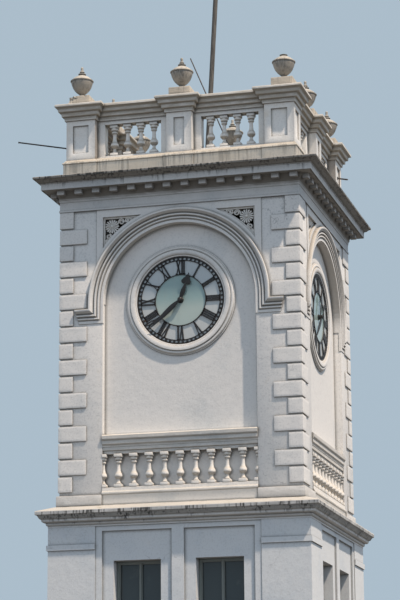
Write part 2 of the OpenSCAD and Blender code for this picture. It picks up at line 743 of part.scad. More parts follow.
// One pedestal of width w with sunk panels, standing on the origin's axis
module pedestal(w, panel_wide, faces) difference() {
  square_moulding(concat([[w / 2, parapet_base_z]], [for (p = coping_outline()) [w / 2 + p[0], p[1]]],
                         [[urn_block_w / 2 + 10, coping_top_z]]));
  panel_z = parapet_base_z + 137;
  for (f = faces) rotate([0, 0, 90 * f]) translate([-panel_wide / 2, -w / 2 - eps, panel_z])
    cube([panel_wide, pedestal_panel_d + eps, shaft_top_z - 104 - panel_z]);
}

// The corner and middle pedestals with their copings
module parapet_pedestals() color(STUCCO) sides() {
  translate([corner_pedestal_c, -corner_pedestal_c, 0]) pedestal(corner_pedestal_w, 315, [0, 1]);
  translate([0, -middle_pedestal_c, 0]) pedestal(middle_pedestal_w, 210, [0, 2]);
}

// The balustraded bays between the pedestals: curb, end strips, balusters and coping
module parapet_bays() color(STUCCO) sides() for (s = [-1, 1]) intersection() {
  open_top = bay_open_z + bay_open_h;
  bay_w = bay_end - bay_start;
  strip_w = (bay_w - bay_open_w) / 2;
  // The copings of the pedestals stand over the ends of the bay, so the bay's coping stops at them
  difference() {
    translate([s * bay_mid - bay_w / 2, -far, 0]) cube([bay_w, far, top]);
    for (c = [[0, middle_pedestal_c, middle_pedestal_w], [s * corner_pedestal_c, corner_pedestal_c,
                                                          corner_pedestal_w]])
      translate([c[0], -c[1], 0]) square_moulding(concat([[c[2] / 2, parapet_base_z]],
        [for (p = coping_outline()) [c[2] / 2 + p[0], p[1]]], [[urn_block_w / 2 + 10, coping_top_z]]));
  }
  union() {
    run([for (p = [[-bay_t / 2, parapet_base_z], [bay_t / 2, parapet_base_z], [bay_t / 2, bay_open_z],
                   [-bay_t / 2, bay_open_z]]) [bay_c + p[0], p[1]]], far);
    for (e = [0, 1])
      translate([s * bay_mid - bay_w / 2 + e * (bay_w - strip_w), -bay_c - bay_t / 2, parapet_base_z])
      cube([strip_w, bay_t, open_top + eps - parapet_base_z]);
    for (i = [0:bay_balusters - 1])
      translate([s * bay_mid + (i - (bay_balusters - 1) / 2) * bay_pitch, -bay_c, bay_open_z - eps])
      baluster(bay_open_h + 2 * eps, 80, 150);
    for (m = [-1, 1]) run(concat([[bay_c, open_top], [bay_c + m * bay_t / 2, open_top]],
      [for (p = coping_outline()) [bay_c + m * (bay_t / 2 + p[0]), p[1]]],
      [[bay_c, coping_top_z - 20]]), far);
  }
}

// Half outline of an urn above its block, as shares of the bowl's radius and the urn's height
URN = [[0, 0], [0.46, 0], [0.46, 0.03], [0.27, 0.06], [0.20, 0.10], [0.28, 0.15], [0.51, 0.25],
       [0.66, 0.32], [0.80, 0.40], [0.91, 0.47], [0.94, 0.51], [1, 0.53], [1, 0.56], [0.90, 0.58],
       [0.69, 0.64], [0.46, 0.69], [0.28, 0.72], [0.28, 0.74], [0.34, 0.755], [0.34, 0.785],
       [0.20, 0.80], [0.15, 0.815], [0.21, 0.83], [0.21, 0.85], [0.12, 0.87], [0.12, 0.97], [0.07, 1],
       [0, 1]];

// One urn on its square block, standing on the coping
module urn() {
  translate([-urn_block_w / 2, -urn_block_w / 2, 0]) cube([urn_block_w, urn_block_w, urn_block_h]);
  translate([0, 0, urn_block_h - eps]) rotate_extrude()
    polygon([for (p = URN) [p[0] * urn_r, p[1] * urn_h]]);
}

// The eight urns: the finial over the front right corner is broken off
module urns() color(STUCCO) for (k = [0:3]) side(k) {
  translate([corner_pedestal_c, -corner_pedestal_c, coping_top_z]) intersection() {
    urn();
    translate([-far, -far, 0]) cube([2 * far, 2 * far, k == 0 ? urn_block_h + broken_urn_h : far]);
  }
  translate([0, -middle_pedestal_c, coping_top_z]) urn();
}

// A rod through the point at height z of the tower's axis plane, leaning in the plane of lean_azimuth
module leaning_rod(z, lateral, ahead, lean, r, back, forth) rotate([0, 0, lean_azimuth])
  translate([lateral, -ahead, z]) rotate([0, lean, 0]) translate([0, 0, -back])
  cylinder(r = r, h = back + forth);

pole_foot_lateral = -83;
crossing_z = 15556;

// The leaning timber flagpole in its iron socket, with a small truck on top
module flagpole() color(TIMBER) {
  socket_h = 200;
  pole_l = (pole_top_z - roof_z - 40) / cos(pole_lean);
  leaning_rod(roof_z + 40, pole_foot_lateral, 0, pole_lean, pole_r, 0, pole_l);
  leaning_rod(roof_z + 40, pole_foot_lateral, 0, pole_lean, pole_r * 1.5, -pole_l + 60, pole_l);
  rotate([0, 0, lean_azimuth]) translate([pole_foot_lateral, 0, roof_z])
    cylinder(r = pole_r * 1.8, h = socket_h);
}

// The thin rod that leans on the pole, the rod on the left and the stub on the right
module iron_rods() color(IRON) {
  ahead = pole_r + stay_r + arbor_clear;
  cross_lateral = pole_foot_lateral + (crossing_z - roof_z - 40) * tan(pole_lean);
  intersection() {
    leaning_rod(crossing_z, cross_lateral, ahead, -stay_lean, stay_r, far, far);
    translate([-far, -far, roof_z]) cube([2 * far, 2 * far, stay_top_z - roof_z]);
  }
  intersection() {
    translate([-pedestal_face, -corner_pedestal_c, bracket_z]) rotate([0, bracket_slope - 90, 0])
      translate([0, 0, -100]) cylinder(r = bracket_r, h = bracket_l + 100);
    // Its foot is let into the sunk panel of the corner pedestal
    translate([-far, -far, 0]) cube([far - pedestal_face + pedestal_panel_d, 2 * far, top]);
  }
  intersection() {
    translate([pedestal_face, stub_y, stub_z]) rotate([0, 90 + stub_droop, 0])
      translate([0, 0, -100]) cylinder(r = stub_r, h = stub_l + 100);
    // Its foot is let into the sunk panel too
    translate([pedestal_face - pedestal_panel_d, -far, 0]) cube([far, 2 * far, top]);
  }
}

color(STUCCO_SHADE) base_wall(0, true);  // base_wall_front
color(STUCCO_SHADE) base_wall(1, false);  // base_wall_right
color(STUCCO_SHADE) base_wall(2, false);  // base_wall_back
color(STUCCO_SHADE) base_wall(3, false);  // base_wall_left
base_pilasters();
entrance_door();
window_frames();
window_panes();
ground_floor();
first_floor();
clock_room_floor();
lower_cornice(0);  // lower_cornice_front
lower_cornice(1);  // lower_cornice_right
lower_cornice(2);  // lower_cornice_back
lower_cornice(3);  // lower_cornice_left
corner_piers();
clock_walls();
arch_head(0);  // arch_head_front
arch_head(1);  // arch_head_right
arch_head(2);  // arch_head_back
arch_head(3);  // arch_head_left
spandrel_grilles();
blind_balustrades();
dial_surrounds();
dial_irons();
dial_glasses();
dial_arbors();
minute_hand(0);  // minute_hand_front
minute_hand(1);  // minute_hand_right
minute_hand(2);  // minute_hand_back
minute_hand(3);  // minute_hand_left
hour_hand(0);  // hour_hand_front
hour_hand(1);  // hour_hand_right
hour_hand(2);  // hour_hand_back
hour_hand(3);  // hour_hand_left
main_cornice(0);  // main_cornice_front
main_cornice(1);  // main_cornice_right
main_cornice(2);  // main_cornice_back
main_cornice(3);  // main_cornice_left
roof_slab();
parapet_base(0);  // parapet_base_front
parapet_base(1);  // parapet_base_right
parapet_base(2);  // parapet_base_back
parapet_base(3);  // parapet_base_left
parapet_bays();
parapet_pedestals();
urns();
flagpole();
iron_rods();
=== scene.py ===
"""Looks of a square stucco clock tower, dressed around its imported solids.

Metres throughout, in the solids' own frame: +Z up, the front along -Y, the origin on the ground at
the middle of the footprint. Each sub-assembly is a class that models its pieces and dresses them.
"""

import json
import logging
import math
import random
from collections.abc import Callable, Iterator, Sequence
from contextlib import contextmanager
from dataclasses import dataclass
from enum import Enum
from typing import Any

import bpy
from mathutils import Matrix, Vector

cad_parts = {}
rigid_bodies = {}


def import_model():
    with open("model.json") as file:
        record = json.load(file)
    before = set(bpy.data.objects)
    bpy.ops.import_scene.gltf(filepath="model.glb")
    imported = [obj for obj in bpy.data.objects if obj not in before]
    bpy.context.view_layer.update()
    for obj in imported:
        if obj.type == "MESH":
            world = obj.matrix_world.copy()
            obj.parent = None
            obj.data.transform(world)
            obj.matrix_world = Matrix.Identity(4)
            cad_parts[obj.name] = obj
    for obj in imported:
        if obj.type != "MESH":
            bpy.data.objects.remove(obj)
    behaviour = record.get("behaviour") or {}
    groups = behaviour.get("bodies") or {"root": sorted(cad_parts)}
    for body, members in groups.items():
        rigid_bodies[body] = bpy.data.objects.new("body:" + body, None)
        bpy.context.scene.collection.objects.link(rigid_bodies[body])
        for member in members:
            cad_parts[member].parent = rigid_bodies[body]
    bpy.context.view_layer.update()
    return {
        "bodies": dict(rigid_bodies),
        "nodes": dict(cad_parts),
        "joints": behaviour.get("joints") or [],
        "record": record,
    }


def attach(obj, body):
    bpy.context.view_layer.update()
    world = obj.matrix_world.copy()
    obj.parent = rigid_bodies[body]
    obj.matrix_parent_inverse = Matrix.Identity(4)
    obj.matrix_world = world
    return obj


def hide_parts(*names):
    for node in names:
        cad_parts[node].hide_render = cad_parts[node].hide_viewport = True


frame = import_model()
log = logging.getLogger("clock_tower")

Piece = bpy.types.Object
Socket = bpy.types.NodeSocket
Pair = tuple[float, float]
Colour = tuple[float, float, float]
Point = tuple[float, float, float]
Profile = list[Pair]

TOWER = "tower"
MERGE = 1e-5

# Heights, and distances from the tower's axis, that several sub-assemblies share
FLOOR_Z = 7.140
STAGE_TOP = 12.820
STAGE_HALF = 2.325
QUOIN_FACE = 2.350
PLINTH_FACE = 2.376
RECESS_HALF = 1.490
RECESS_FACE = 2.170
DIAL_Z = 10.980
DIAL_CENTRE = (0.0, 0.0, DIAL_Z)
SPANDREL_R = 1.840
SPANDREL_TOP = 12.670
PARAPET_FOOT = 13.500
PARAPET_FACE = 2.322
PARAPET_TOP = 15.040
MIDDLE_PEDESTAL = 2.010


class Side(Enum):
    """A side of the tower, by its quarter turns from the front."""

    FRONT = 0
    RIGHT = 1
    BACK = 2
    LEFT = 3

    @property
    def turn(self) -> float:
        """Angle about +Z from the front, in radians."""
        return self.value * math.pi / 2

    def named(self, stem: str) -> str:
        """Name of this side's node or piece with the given stem."""
        return f"{stem}_{self.name.lower()}"


class Spindle(Enum):
    """How a profile is turned: about a vertical axis, round or square, or about a dial's axis."""

    ROUND = "round"
    SQUARE = "square"
    DIAL = "dial"


# Modelling steps that every piece shares

def select_only(*pieces: Piece) -> None:
    """Deselects the rest in object mode and makes the last piece the active one.

    Args:
        pieces: What is selected.
    """
    bpy.ops.object.select_all(action="DESELECT")
    for piece in pieces:
        piece.select_set(True)
        bpy.context.view_layer.objects.active = piece


@contextmanager
def editing(piece: Piece, kind: str = "FACE", rule: Callable[[Any], bool] | None = None) -> Iterator[None]:
    """Edits a piece with all of it selected, or only what the rule picks.

    Args:
        piece: The mesh to edit.
        kind: FACE, EDGE or VERT, the selection mode.
        rule: Tells for a face or an edge whether it is picked.
    """
    select_only(piece)
    bpy.ops.object.mode_set(mode="EDIT")
    bpy.ops.mesh.select_mode(type=kind)
    bpy.ops.mesh.select_all(action="DESELECT" if rule else "SELECT")
    if rule:
        bpy.ops.object.mode_set(mode="OBJECT")
        for part in piece.data.polygons if kind == "FACE" else piece.data.edges:
            part.select = rule(part)
        bpy.ops.object.mode_set(mode="EDIT")
    yield
    bpy.ops.object.mode_set(mode="OBJECT")


def settled(name: str) -> Piece:
    """Names the active object and puts its place, turn and scale into its mesh.

    Args:
        name: The name it gets.

    Returns:
        The object.
    """
    piece = bpy.context.object
    piece.name = piece.data.name = name
    bpy.ops.object.transform_apply(location=True, rotation=True, scale=True)
    return piece


def placed(piece: Piece, move: Point = (0, 0, 0), tip: float = 0.0, turn: float = 0.0) -> Piece:
    """Tips a piece about the Y axis, turns it about the Z axis and then moves it.

    Args:
        piece: A piece at the origin.
        move: How far it is moved.
        tip: Angle about +Y in radians.
        turn: Angle about +Z in radians.
    """
    select_only(piece)
    piece.rotation_euler = (0, tip, turn)
    piece.location = move
    return settled(piece.name)


def copied(piece: Piece, name: str, move: Point) -> Piece:
    """A copy with its own mesh, moved.

    Args:
        piece: What is copied.
        name: Name of the copy.
        move: How far it is moved.

    Returns:
        The copy.
    """
    select_only(piece)
    bpy.ops.object.duplicate(linked=False)
    bpy.context.object.location = move
    return settled(name)


def joined(name: str, pieces: Sequence[Piece]) -> Piece:
    """Joins pieces into one object."""
    select_only(*pieces)
    bpy.ops.object.join()
    return settled(name)


def closed_up(piece: Piece) -> Piece:
    """Merges a piece's seams and poles and points its faces outwards.

    Args:
        piece: The mesh to close.
    """
    with editing(piece, "VERT"):
        bpy.ops.mesh.remove_doubles(threshold=MERGE)
        bpy.ops.mesh.select_all(action="SELECT")
        bpy.ops.mesh.normals_make_consistent(inside=False)
    return piece


def block(name: str, low: Point, high: Point, edge: float = 0.0) -> Piece:
    """A rectangular block between two corners.

    Args:
        name: Name of the piece.
        low: Lowest corner.
        high: Highest corner.
        edge: Width of the bevel along its edges.
    """
    centre = [(a + b) / 2 for a, b in zip(low, high)]
    size = [b - a for a, b in zip(low, high)]
    select_only()
    bpy.ops.mesh.primitive_cube_add(size=1.0, location=centre, scale=size)
    piece = settled(name)
    if edge:
        with editing(piece, "EDGE"):
            bpy.ops.mesh.bevel(offset=edge, segments=2, affect="EDGES")
    return piece


def stroke(name: str, points: Sequence[Point], fill: bool = False) -> Piece:
    """A line of edges drawn by extruding one vertex from point to point.

    Args:
        name: Name of the piece.
        points: Corners of the line.
        fill: Whether the line is closed and filled with one face.
    """
    select_only()
    bpy.ops.mesh.primitive_plane_add(size=0.01, location=points[0])
    piece = settled(name)
    with editing(piece, "VERT"):
        bpy.ops.mesh.merge(type="CENTER")
        for start, end in zip(points, points[1:]):
            step = Vector(end) - Vector(start)
            bpy.ops.mesh.extrude_region_move(TRANSFORM_OT_translate={"value": step})
        if fill:
            bpy.ops.mesh.select_all(action="SELECT")
            bpy.ops.mesh.edge_face_add()
    return piece


def prism(name: str, outline: Sequence[Point], depth: Point) -> Piece:
    """A closed solid that is extruded from a flat outline.

    Args:
        name: Name of the piece.
        outline: Corners of its first face.
        depth: Way from its first face to its last.
    """
    piece = stroke(name, outline, fill=True)
    with editing(piece):
        bpy.ops.mesh.extrude_region_move(TRANSFORM_OT_translate={"value": depth})
    return closed_up(piece)


def turned(
    name: str, profile: Profile, centre: Point, spindle: Spindle = Spindle.ROUND,
    steps: int = 32, angle: float = math.tau, closed: bool = False,
) -> Piece:
    """A profile turned about an axis.

    Args:
        name: Name of the piece.
        profile: Points (distance from the axis, height along it).
        centre: A point on the axis, from which the heights count.
        spindle: The kind of axis. A dial's heights count outwards from the tower's own axis.
        steps: Number of steps round the axis, which a square spindle ignores.
        angle: How far the profile is turned.
        closed: Whether the profile's last point joins its first.
    """
    x, y, z = centre
    square = spindle is Spindle.SQUARE
    if spindle is Spindle.DIAL:
        points = [(x + r, y - h, z) for r, h in profile]
    else:
        points = [(x + r, y - r if square else y, z + h) for r, h in profile]
    piece = stroke(name, points, fill=closed)
    with editing(piece, "VERT"):
        if closed:
            bpy.ops.mesh.delete(type="ONLY_FACE")
            bpy.ops.mesh.select_all(action="SELECT")
        axis = (0, 1, 0) if spindle is Spindle.DIAL else (0, 0, 1)
        bpy.ops.mesh.spin(steps=4 if square else steps, angle=angle, center=centre, axis=axis)
    return closed_up(piece)


def dial_disc(name: str, radius: float, near: float, far: float, steps: int) -> Piece:
    """A disc about the front dial's axis."""
    outline = [(0.0, near), (radius, near), (radius, far), (0.0, far)]
    return turned(name, outline, DIAL_CENTRE, Spindle.DIAL, steps)


def tube(name: str, points: Sequence[Point], radius: float) -> Piece:
    """A round bar along a line of points, closed at its ends.

    Args:
        name: Name of the piece.
        points: The line's points.
        radius: Radius of the bar.
    """
    stroke(name, points)
    bpy.ops.object.convert(target="CURVE")
    curve = bpy.context.object
    curve.data.bevel_depth = radius
    curve.data.bevel_resolution = 2
    curve.data.use_fill_caps = True
    bpy.ops.object.convert(target="MESH")
    return closed_up(settled(name))


def applied(piece: Piece, kind: str, **settings: Any) -> Piece:
    """Adds a modifier and applies it.

    Args:
        piece: The mesh that it changes.
        kind: Type of the modifier.
        settings: Its settings.
    """
    modifier = piece.modifiers.new(kind, kind)
    for key, value in settings.items():
        setattr(modifier, key, value)
    select_only(piece)
    bpy.ops.object.modifier_apply(modifier=modifier.name)
    return piece


def bevelled(piece: Piece, width: float, angle: float) -> Piece:
    """Rounds the edges that are sharper than an angle in degrees."""
    limit = math.radians(angle)
    return applied(piece, "BEVEL", width=width, segments=2, limit_method="ANGLE", angle_limit=limit)


def mirrored(piece: Piece) -> Piece:
    """Adds the mirror image across the plane x = 0."""
    return applied(piece, "MIRROR", use_mirror_merge=False)


def in_a_row(piece: Piece, count: int, pitch: float) -> Piece:
    """Repeats a piece along +X.

    Args:
        piece: The first of the row.
        count: How many there are in all.
        pitch: How far each is from the last.

    Returns:
        The row.
    """
    return applied(
        piece, "ARRAY", count=count, use_relative_offset=False, use_constant_offset=True,
        constant_offset_displace=(pitch, 0.0, 0.0),
    )


def repeated(piece: Piece, count: int, angle: float, centre: Point, axis: Point) -> Piece:
    """Repeats a piece's own shape round an axis.

    Args:
        piece: The first of the ring.
        count: How many there are in all.
        angle: How far each is turned from the last, in radians.
        centre: A point on the axis.
        axis: Direction of the axis.
    """
    with editing(piece):
        bpy.ops.mesh.spin(
            steps=count - 1, dupli=True, angle=(count - 1) * angle, center=centre, axis=axis
        )
    return piece


def on_all_sides(piece: Piece) -> Piece:
    """Repeats a shape of the front on the other three sides."""
    return repeated(piece, 4, math.pi / 2, (0, 0, 0), (0, 0, 1))


def carved(piece: Piece, tool: Piece, operation: str = "DIFFERENCE") -> Piece:
    """Cuts the tool's shape from a piece, or unites them, and removes the tool."""
    applied(piece, "BOOLEAN", object=tool, operation=operation, solver="EXACT")
    bpy.data.objects.remove(tool)
    return piece


def sliced(piece: Piece, at: Point, normal: Point) -> Piece:
    """Cuts away what lies beyond a plane and closes the cut."""
    with editing(piece):
        bpy.ops.mesh.bisect(plane_co=at, plane_no=normal, use_fill=True, clear_outer=True)
    return closed_up(piece)


def divided(piece: Piece, cuts: int) -> Piece:
    """Subdivides all faces of a piece."""
    with editing(piece):
        bpy.ops.mesh.subdivide(number_cuts=cuts)
    return piece


def refined(piece: Piece, longer_than: float, cuts: int) -> Piece:
    """Subdivides a piece's long edges, so that its surface can be worn.

    Args:
        piece: The mesh to refine.
        longer_than: Length from which an edge is cut.
        cuts: Number of cuts in each.
    """
    points = [v.co.copy() for v in piece.data.vertices]

    def is_long(edge: bpy.types.MeshEdge) -> bool:
        """Whether an edge is long enough to be cut."""
        return (points[edge.vertices[0]] - points[edge.vertices[1]]).length > longer_than

    with editing(piece, "EDGE", is_long):
        bpy.ops.mesh.subdivide(number_cuts=cuts)
    return piece


def worn(
    piece: Piece, edge: float = 0.0, depth: float = 0.0, grain: float = 0.16, angle: float = 35.0,
) -> Piece:
    """Rounds a piece's sharp edges and makes its surface uneven, as hand-laid plaster is.

    Args:
        piece: The mesh to wear.
        edge: Width of the rounding.
        depth: Height of the unevenness.
        grain: Size of the unevenness.
        angle: Sharpest turn in degrees that still counts as smooth.
    """
    if edge:
        bevelled(piece, edge, angle)
    if depth:
        clouds = bpy.data.textures.new(piece.name, "CLOUDS")
        clouds.noise_scale = grain
        applied(piece, "DISPLACE", texture=clouds, texture_coords="GLOBAL", strength=depth, mid_level=0.5)
    select_only(piece)
    bpy.ops.object.shade_smooth_by_angle(angle=math.radians(angle))
    return piece


def shifted(x: float, z: float, *steps: Pair) -> Profile:
    """Points of a profile that are counted from (x, z)."""
    return [(x + across, z + up) for across, up in steps]


def bow(start: Pair, end: Pair, bulge: float, steps: int) -> Profile:
    """A bowed stretch of a profile.

    Args:
        start: Point that the stretch leaves.
        end: Point that it reaches.
        bulge: Height of the bow to the right of the way, as a share of its length.
        steps: Number of points.

    Returns:
        The points, with the start's own first.
    """
    dx, dy = end[0] - start[0], end[1] - start[1]
    shares = [i / steps for i in range(1, steps + 1)]
    lift = [bulge * math.sin(math.pi * t) for t in shares]
    bend = [(start[0] + dx * t + dy * h, start[1] + dy * t - dx * h) for t, h in zip(shares, lift)]
    return [start, *bend]


def ogee(start: Pair, end: Pair, steps: int = 6) -> Profile:
    """An S-shaped stretch of a profile, level at both ends."""
    dx, dy = end[0] - start[0], end[1] - start[1]
    shares = [i / steps for i in range(1, steps + 1)]
    return [start, *((start[0] + dx * t, start[1] + dy * (3 * t * t - 2 * t**3)) for t in shares)]


# Node trees and the effects that several finishes share

@dataclass
class Graph:
    """A shader tree under construction, which starts empty."""

    tree: bpy.types.NodeTree

    def __post_init__(self) -> None:
        """Empties the tree."""
        self.tree.nodes.clear()

    def add(self, kind: str, values: dict[Any, Any] | None = None, **settings: Any) -> bpy.types.Node:
        """Adds a node.

        Args:
            kind: Type of the node, without its common prefix.
            values: Input names or numbers with their values or the sockets that feed them.
            settings: Properties of the node.

        Returns:
            The node.
        """
        node = self.tree.nodes.new(kind if kind.startswith("NodeGroup") else f"ShaderNode{kind}")
        for key, value in settings.items():
            setattr(node, key, value)
        for key, value in (values or {}).items():
            self.feed(node.inputs[key], value)
        return node

    def feed(self, socket: Socket, value: Any) -> None:
        """Links a socket to another or sets its value.

        Args:
            socket: The input.
            value: A socket, a number, a vector, or a colour without its alpha.
        """
        if isinstance(value, Socket):
            self.tree.links.new(value, socket)
        elif socket.type == "RGBA" and isinstance(value, tuple):
            socket.default_value = (*value, 1.0)
        else:
            socket.default_value = value

    def math(self, operation: str, *values: Any, clamp: bool = False) -> Socket:
        """The result of a Math node."""
        node = self.add("Math", dict(enumerate(values)), operation=operation, use_clamp=clamp)
        return node.outputs[0]

    def plus(self, first: Any, second: Any) -> Socket:
        """The sum of two values."""
        return self.math("ADD", first, second)

    def minus(self, first: Any, second: Any) -> Socket:
        """The first value less the second."""
        return self.math("SUBTRACT", first, second)

    def times(self, first: Any, second: Any, clamp: bool = False) -> Socket:
        """The product of two values."""
        return self.math("MULTIPLY", first, second, clamp=clamp)

    def remap(self, value: Any, low: Any, high: Any, to_low: float = 0.0, to_high: float = 1.0) -> Socket:
        """A smooth step of a value between two limits."""
        values = {0: value, 1: low, 2: high, 3: to_low, 4: to_high}
        return self.add("MapRange", values, interpolation_type="SMOOTHSTEP").outputs[0]

    def blend(self, share: Any, first: Any, second: Any) -> Socket:
        """A mix of two colours, with this share of the second."""
        return self.add("Mix", {0: share, 6: first, 7: second}, data_type="RGBA").outputs[2]

    def layered(self, colour: Socket, layers: Sequence[tuple[Any, Colour]]) -> Socket:
        """A colour with others laid over it."""
        for share, over in layers:
            colour = self.blend(share, colour, over)
        return colour

    def position(self, scale: Point = (1.0, 1.0, 1.0)) -> Socket:
        """Object coordinates, stretched by a scale."""
        place = self.add("TexCoord").outputs["Object"]
        return self.add("Mapping", {"Vector": place, "Scale": scale}).outputs[0]

    def height(self) -> Socket:
        """Height above the ground."""
        return self.add("SeparateXYZ", {0: self.position()}).outputs[2]

    def noise(self, vector: Socket, scale: Any, detail: float = 4.0, rough: float = 0.55) -> Socket:
        """A noise value about one half."""
        values = {"Vector": vector, "Scale": scale, "Detail": detail, "Roughness": rough}
        return self.add("TexNoise", values).outputs[0]

    def dot(self, first: Socket, second: Socket) -> Socket:
        """The dot product of two vectors."""
        values = {0: first, 1: second}
        return self.add("VectorMath", values, operation="DOT_PRODUCT").outputs["Value"]


@dataclass(frozen=True)
class Effect:
    """A shader group with named inputs and one output, which several finishes share.

    Its build function takes the graph and the inputs' sockets, and returns the output's socket.
    """

    name: str
    build: Callable[[Graph, Any], Socket]
    inputs: tuple[tuple[str, float], ...]

    def tree(self) -> bpy.types.NodeTree:
        """The group's tree, built at its first use."""
        tree = bpy.data.node_groups.get(self.name)
        if not tree:
            tree = bpy.data.node_groups.new(self.name, "ShaderNodeTree")
            for key, value in self.inputs:
                socket = tree.interface.new_socket(key, in_out="INPUT", socket_type="NodeSocketFloat")
                socket.default_value = value
            tree.interface.new_socket("Mask", in_out="OUTPUT", socket_type="NodeSocketFloat")
            graph = Graph(tree)
            entry = graph.add("NodeGroupInput")
            graph.add("NodeGroupOutput", {"Mask": self.build(graph, entry.outputs)})
        return tree

    def on(self, graph: Graph, **values: float) -> Socket:
        """Places the group in a finish's tree."""
        inputs = {key.title(): value for key, value in values.items()}
        return graph.add("Group", inputs, node_tree=self.tree()).outputs[0]


# Each takes its group's graph and inputs and returns the output

def build_grain(g: Graph, given: Any) -> Socket:
    """Height of trowelled stucco: soft hollows, sand grains and small pits."""
    place = g.position()
    hollows = g.noise(place, 7.0, 3.0)
    sand = g.noise(place, given["Scale"], 5.0, 0.65)
    cells = g.add("TexVoronoi", {"Vector": place, "Scale": 26.0}).outputs["Distance"]
    pits = g.remap(cells, 0.05, 0.16)
    rough = g.plus(g.times(hollows, 0.9), g.times(sand, 0.5))
    return g.plus(rough, g.times(pits, 0.12))


def build_patches(g: Graph, given: Any) -> Socket:
    """Cloudy patches that cover about the given share."""
    cloud = g.noise(g.position(), given["Scale"], 6.0, 0.62)
    start = g.minus(0.78, g.times(given["Share"], 0.55))
    return g.remap(cloud, start, g.plus(start, given["Softness"]))


def build_rain(g: Graph, given: Any) -> Socket:
    """Streaks of uneven length that rain draws down from an edge."""
    fine = g.noise(g.position((1.0, 1.0, 0.05)), given["Scale"], 2.0, 0.6)
    broad = g.noise(g.position((1.0, 1.0, 0.2)), 1.9, 3.0)
    reach = g.noise(g.position((1.0, 1.0, 0.0)), 9.0, 2.0)
    depth = g.math("DIVIDE", g.minus(given["Top"], g.height()), given["Length"])
    fade = g.remap(g.plus(depth, g.times(g.minus(reach, 0.5), -2.4)), 0.10, 0.9, 1.0, 0.0)
    under = g.math("GREATER_THAN", depth, -0.02)
    lines = g.remap(g.plus(fine, g.times(broad, 0.6)), 0.80, 0.93)
    return g.times(g.times(lines, fade), under)


def build_crevice(g: Graph, given: Any) -> Socket:
    """Corners and undercuts, darkened by ambient occlusion: painted shade, with the dirt that stays there.
    """
    shut = g.add("AmbientOcclusion", {"Distance": given["Reach"]}, samples=6).outputs["AO"]
    return g.remap(shut, 0.95, 0.62)


def build_grime(g: Graph, given: Any) -> Socket:
    """Dirt that clings between two heights, in level smears."""
    height = g.height()
    above = g.remap(g.minus(height, given["Low"]), -0.012, 0.012)
    below = g.remap(g.minus(given["High"], height), -0.012, 0.012)
    smear = g.noise(g.position((1.0, 1.0, 5.0)), given["Scale"], 6.0, 0.65)
    return g.times(g.times(above, below), g.remap(smear, 0.25, 0.60, 0.30, 1.0))


def build_edges(g: Graph, given: Any) -> Socket:
    """Sharp edges within a radius, broken up where they are whole."""
    bevel = g.add("Bevel", {"Radius": given["Radius"]}, samples=4).outputs[0]
    turn = g.dot(bevel, g.add("NewGeometry").outputs["Normal"])
    broken = g.noise(g.position(), 9.0, 5.0, 0.7)
    return g.times(g.remap(turn, 0.99, 0.85), g.remap(broken, 0.35, 0.6))


def build_facing(g: Graph, given: Any) -> Socket:
    """Faces that look up more than Low and fully past High, or down where both are negative."""
    up = g.add("SeparateXYZ", {0: g.add("NewGeometry").outputs["True Normal"]}).outputs[2]
    return g.remap(up, given["Low"], given["High"])


def build_inward(g: Graph, given: Any) -> Socket:
    """Faces that look towards the tower's axis from beyond a distance."""
    ahead = g.dot(g.position((1.0, 1.0, 0.0)), g.add("NewGeometry").outputs["True Normal"])
    return g.remap(g.plus(ahead, given["Distance"]), 0.0, -0.12)


def build_cracks(g: Graph, given: Any) -> Socket:
    """Thin wandering cracks that come and go."""
    place = g.position()
    bend = g.add("TexNoise", {"Vector": place, "Scale": 2.0, "Detail": 4.0}).outputs["Color"]
    bent = g.add("VectorMath", {0: place, 1: bend}, operation="ADD").outputs[0]
    cells = {"Vector": bent, "Scale": given["Scale"]}
    gap = g.add("TexVoronoi", cells, feature="DISTANCE_TO_EDGE").outputs["Distance"]
    here = g.remap(g.noise(place, 0.55, 2.0), 0.52, 0.62)
    return g.times(g.remap(gap, given["Width"], 0.0), here)


GRAIN = Effect("stucco grain", build_grain, (("Scale", 60.0),))
PATCHES = Effect("weather patches", build_patches, (("Scale", 1.0), ("Share", 0.5), ("Softness", 0.2)))
RAIN = Effect("rain streaks", build_rain, (("Top", 0.0), ("Length", 0.3), ("Scale", 14.0)))
# Painted shade: ambient occlusion darkens corners, creases and undercuts, with the dirt that stays there.
CREVICE = Effect("dirt in crevices", build_crevice, (("Reach", 0.12),))
GRIME = Effect("grime between heights", build_grime, (("Low", 0.0), ("High", 1.0), ("Scale", 3.5)))
EDGES = Effect("worn edges", build_edges, (("Radius", 0.01),))
FACING = Effect("facing up or down", build_facing, (("Low", 0.3), ("High", 0.7)))
INWARD = Effect("facing inwards", build_inward, (("Distance", 1.6),))
CRACKS = Effect("hair cracks", build_cracks, (("Scale", 0.5), ("Width", 0.006)))


# Finishes

def surface(
    name: str, colour: Socket, g: Graph, height: Socket, depth: float, roughness: Socket,
    coat: Pair | None = None,
) -> None:
    """Ends a finish's tree with a Principled shader and its bump.

    Args:
        name: Name of the bump's node.
        colour: Socket of the base colour.
        g: The finish's tree.
        height: Height of the bump.
        depth: Depth of the bump in metres.
        roughness: Socket of the roughness.
        coat: Weight and roughness of the coat, on a finish that has one.
    """
    bump = g.add("Bump", {"Strength": 1.0, "Distance": depth, "Height": height}, name=name).outputs[0]
    values = {"Base Color": colour, "Normal": bump, "Roughness": roughness}
    if coat:
        values |= {"Coat Weight": coat[0], "Coat Roughness": coat[1]}
    g.add("OutputMaterial", {"Surface": g.add("BsdfPrincipled", values).outputs[0]})


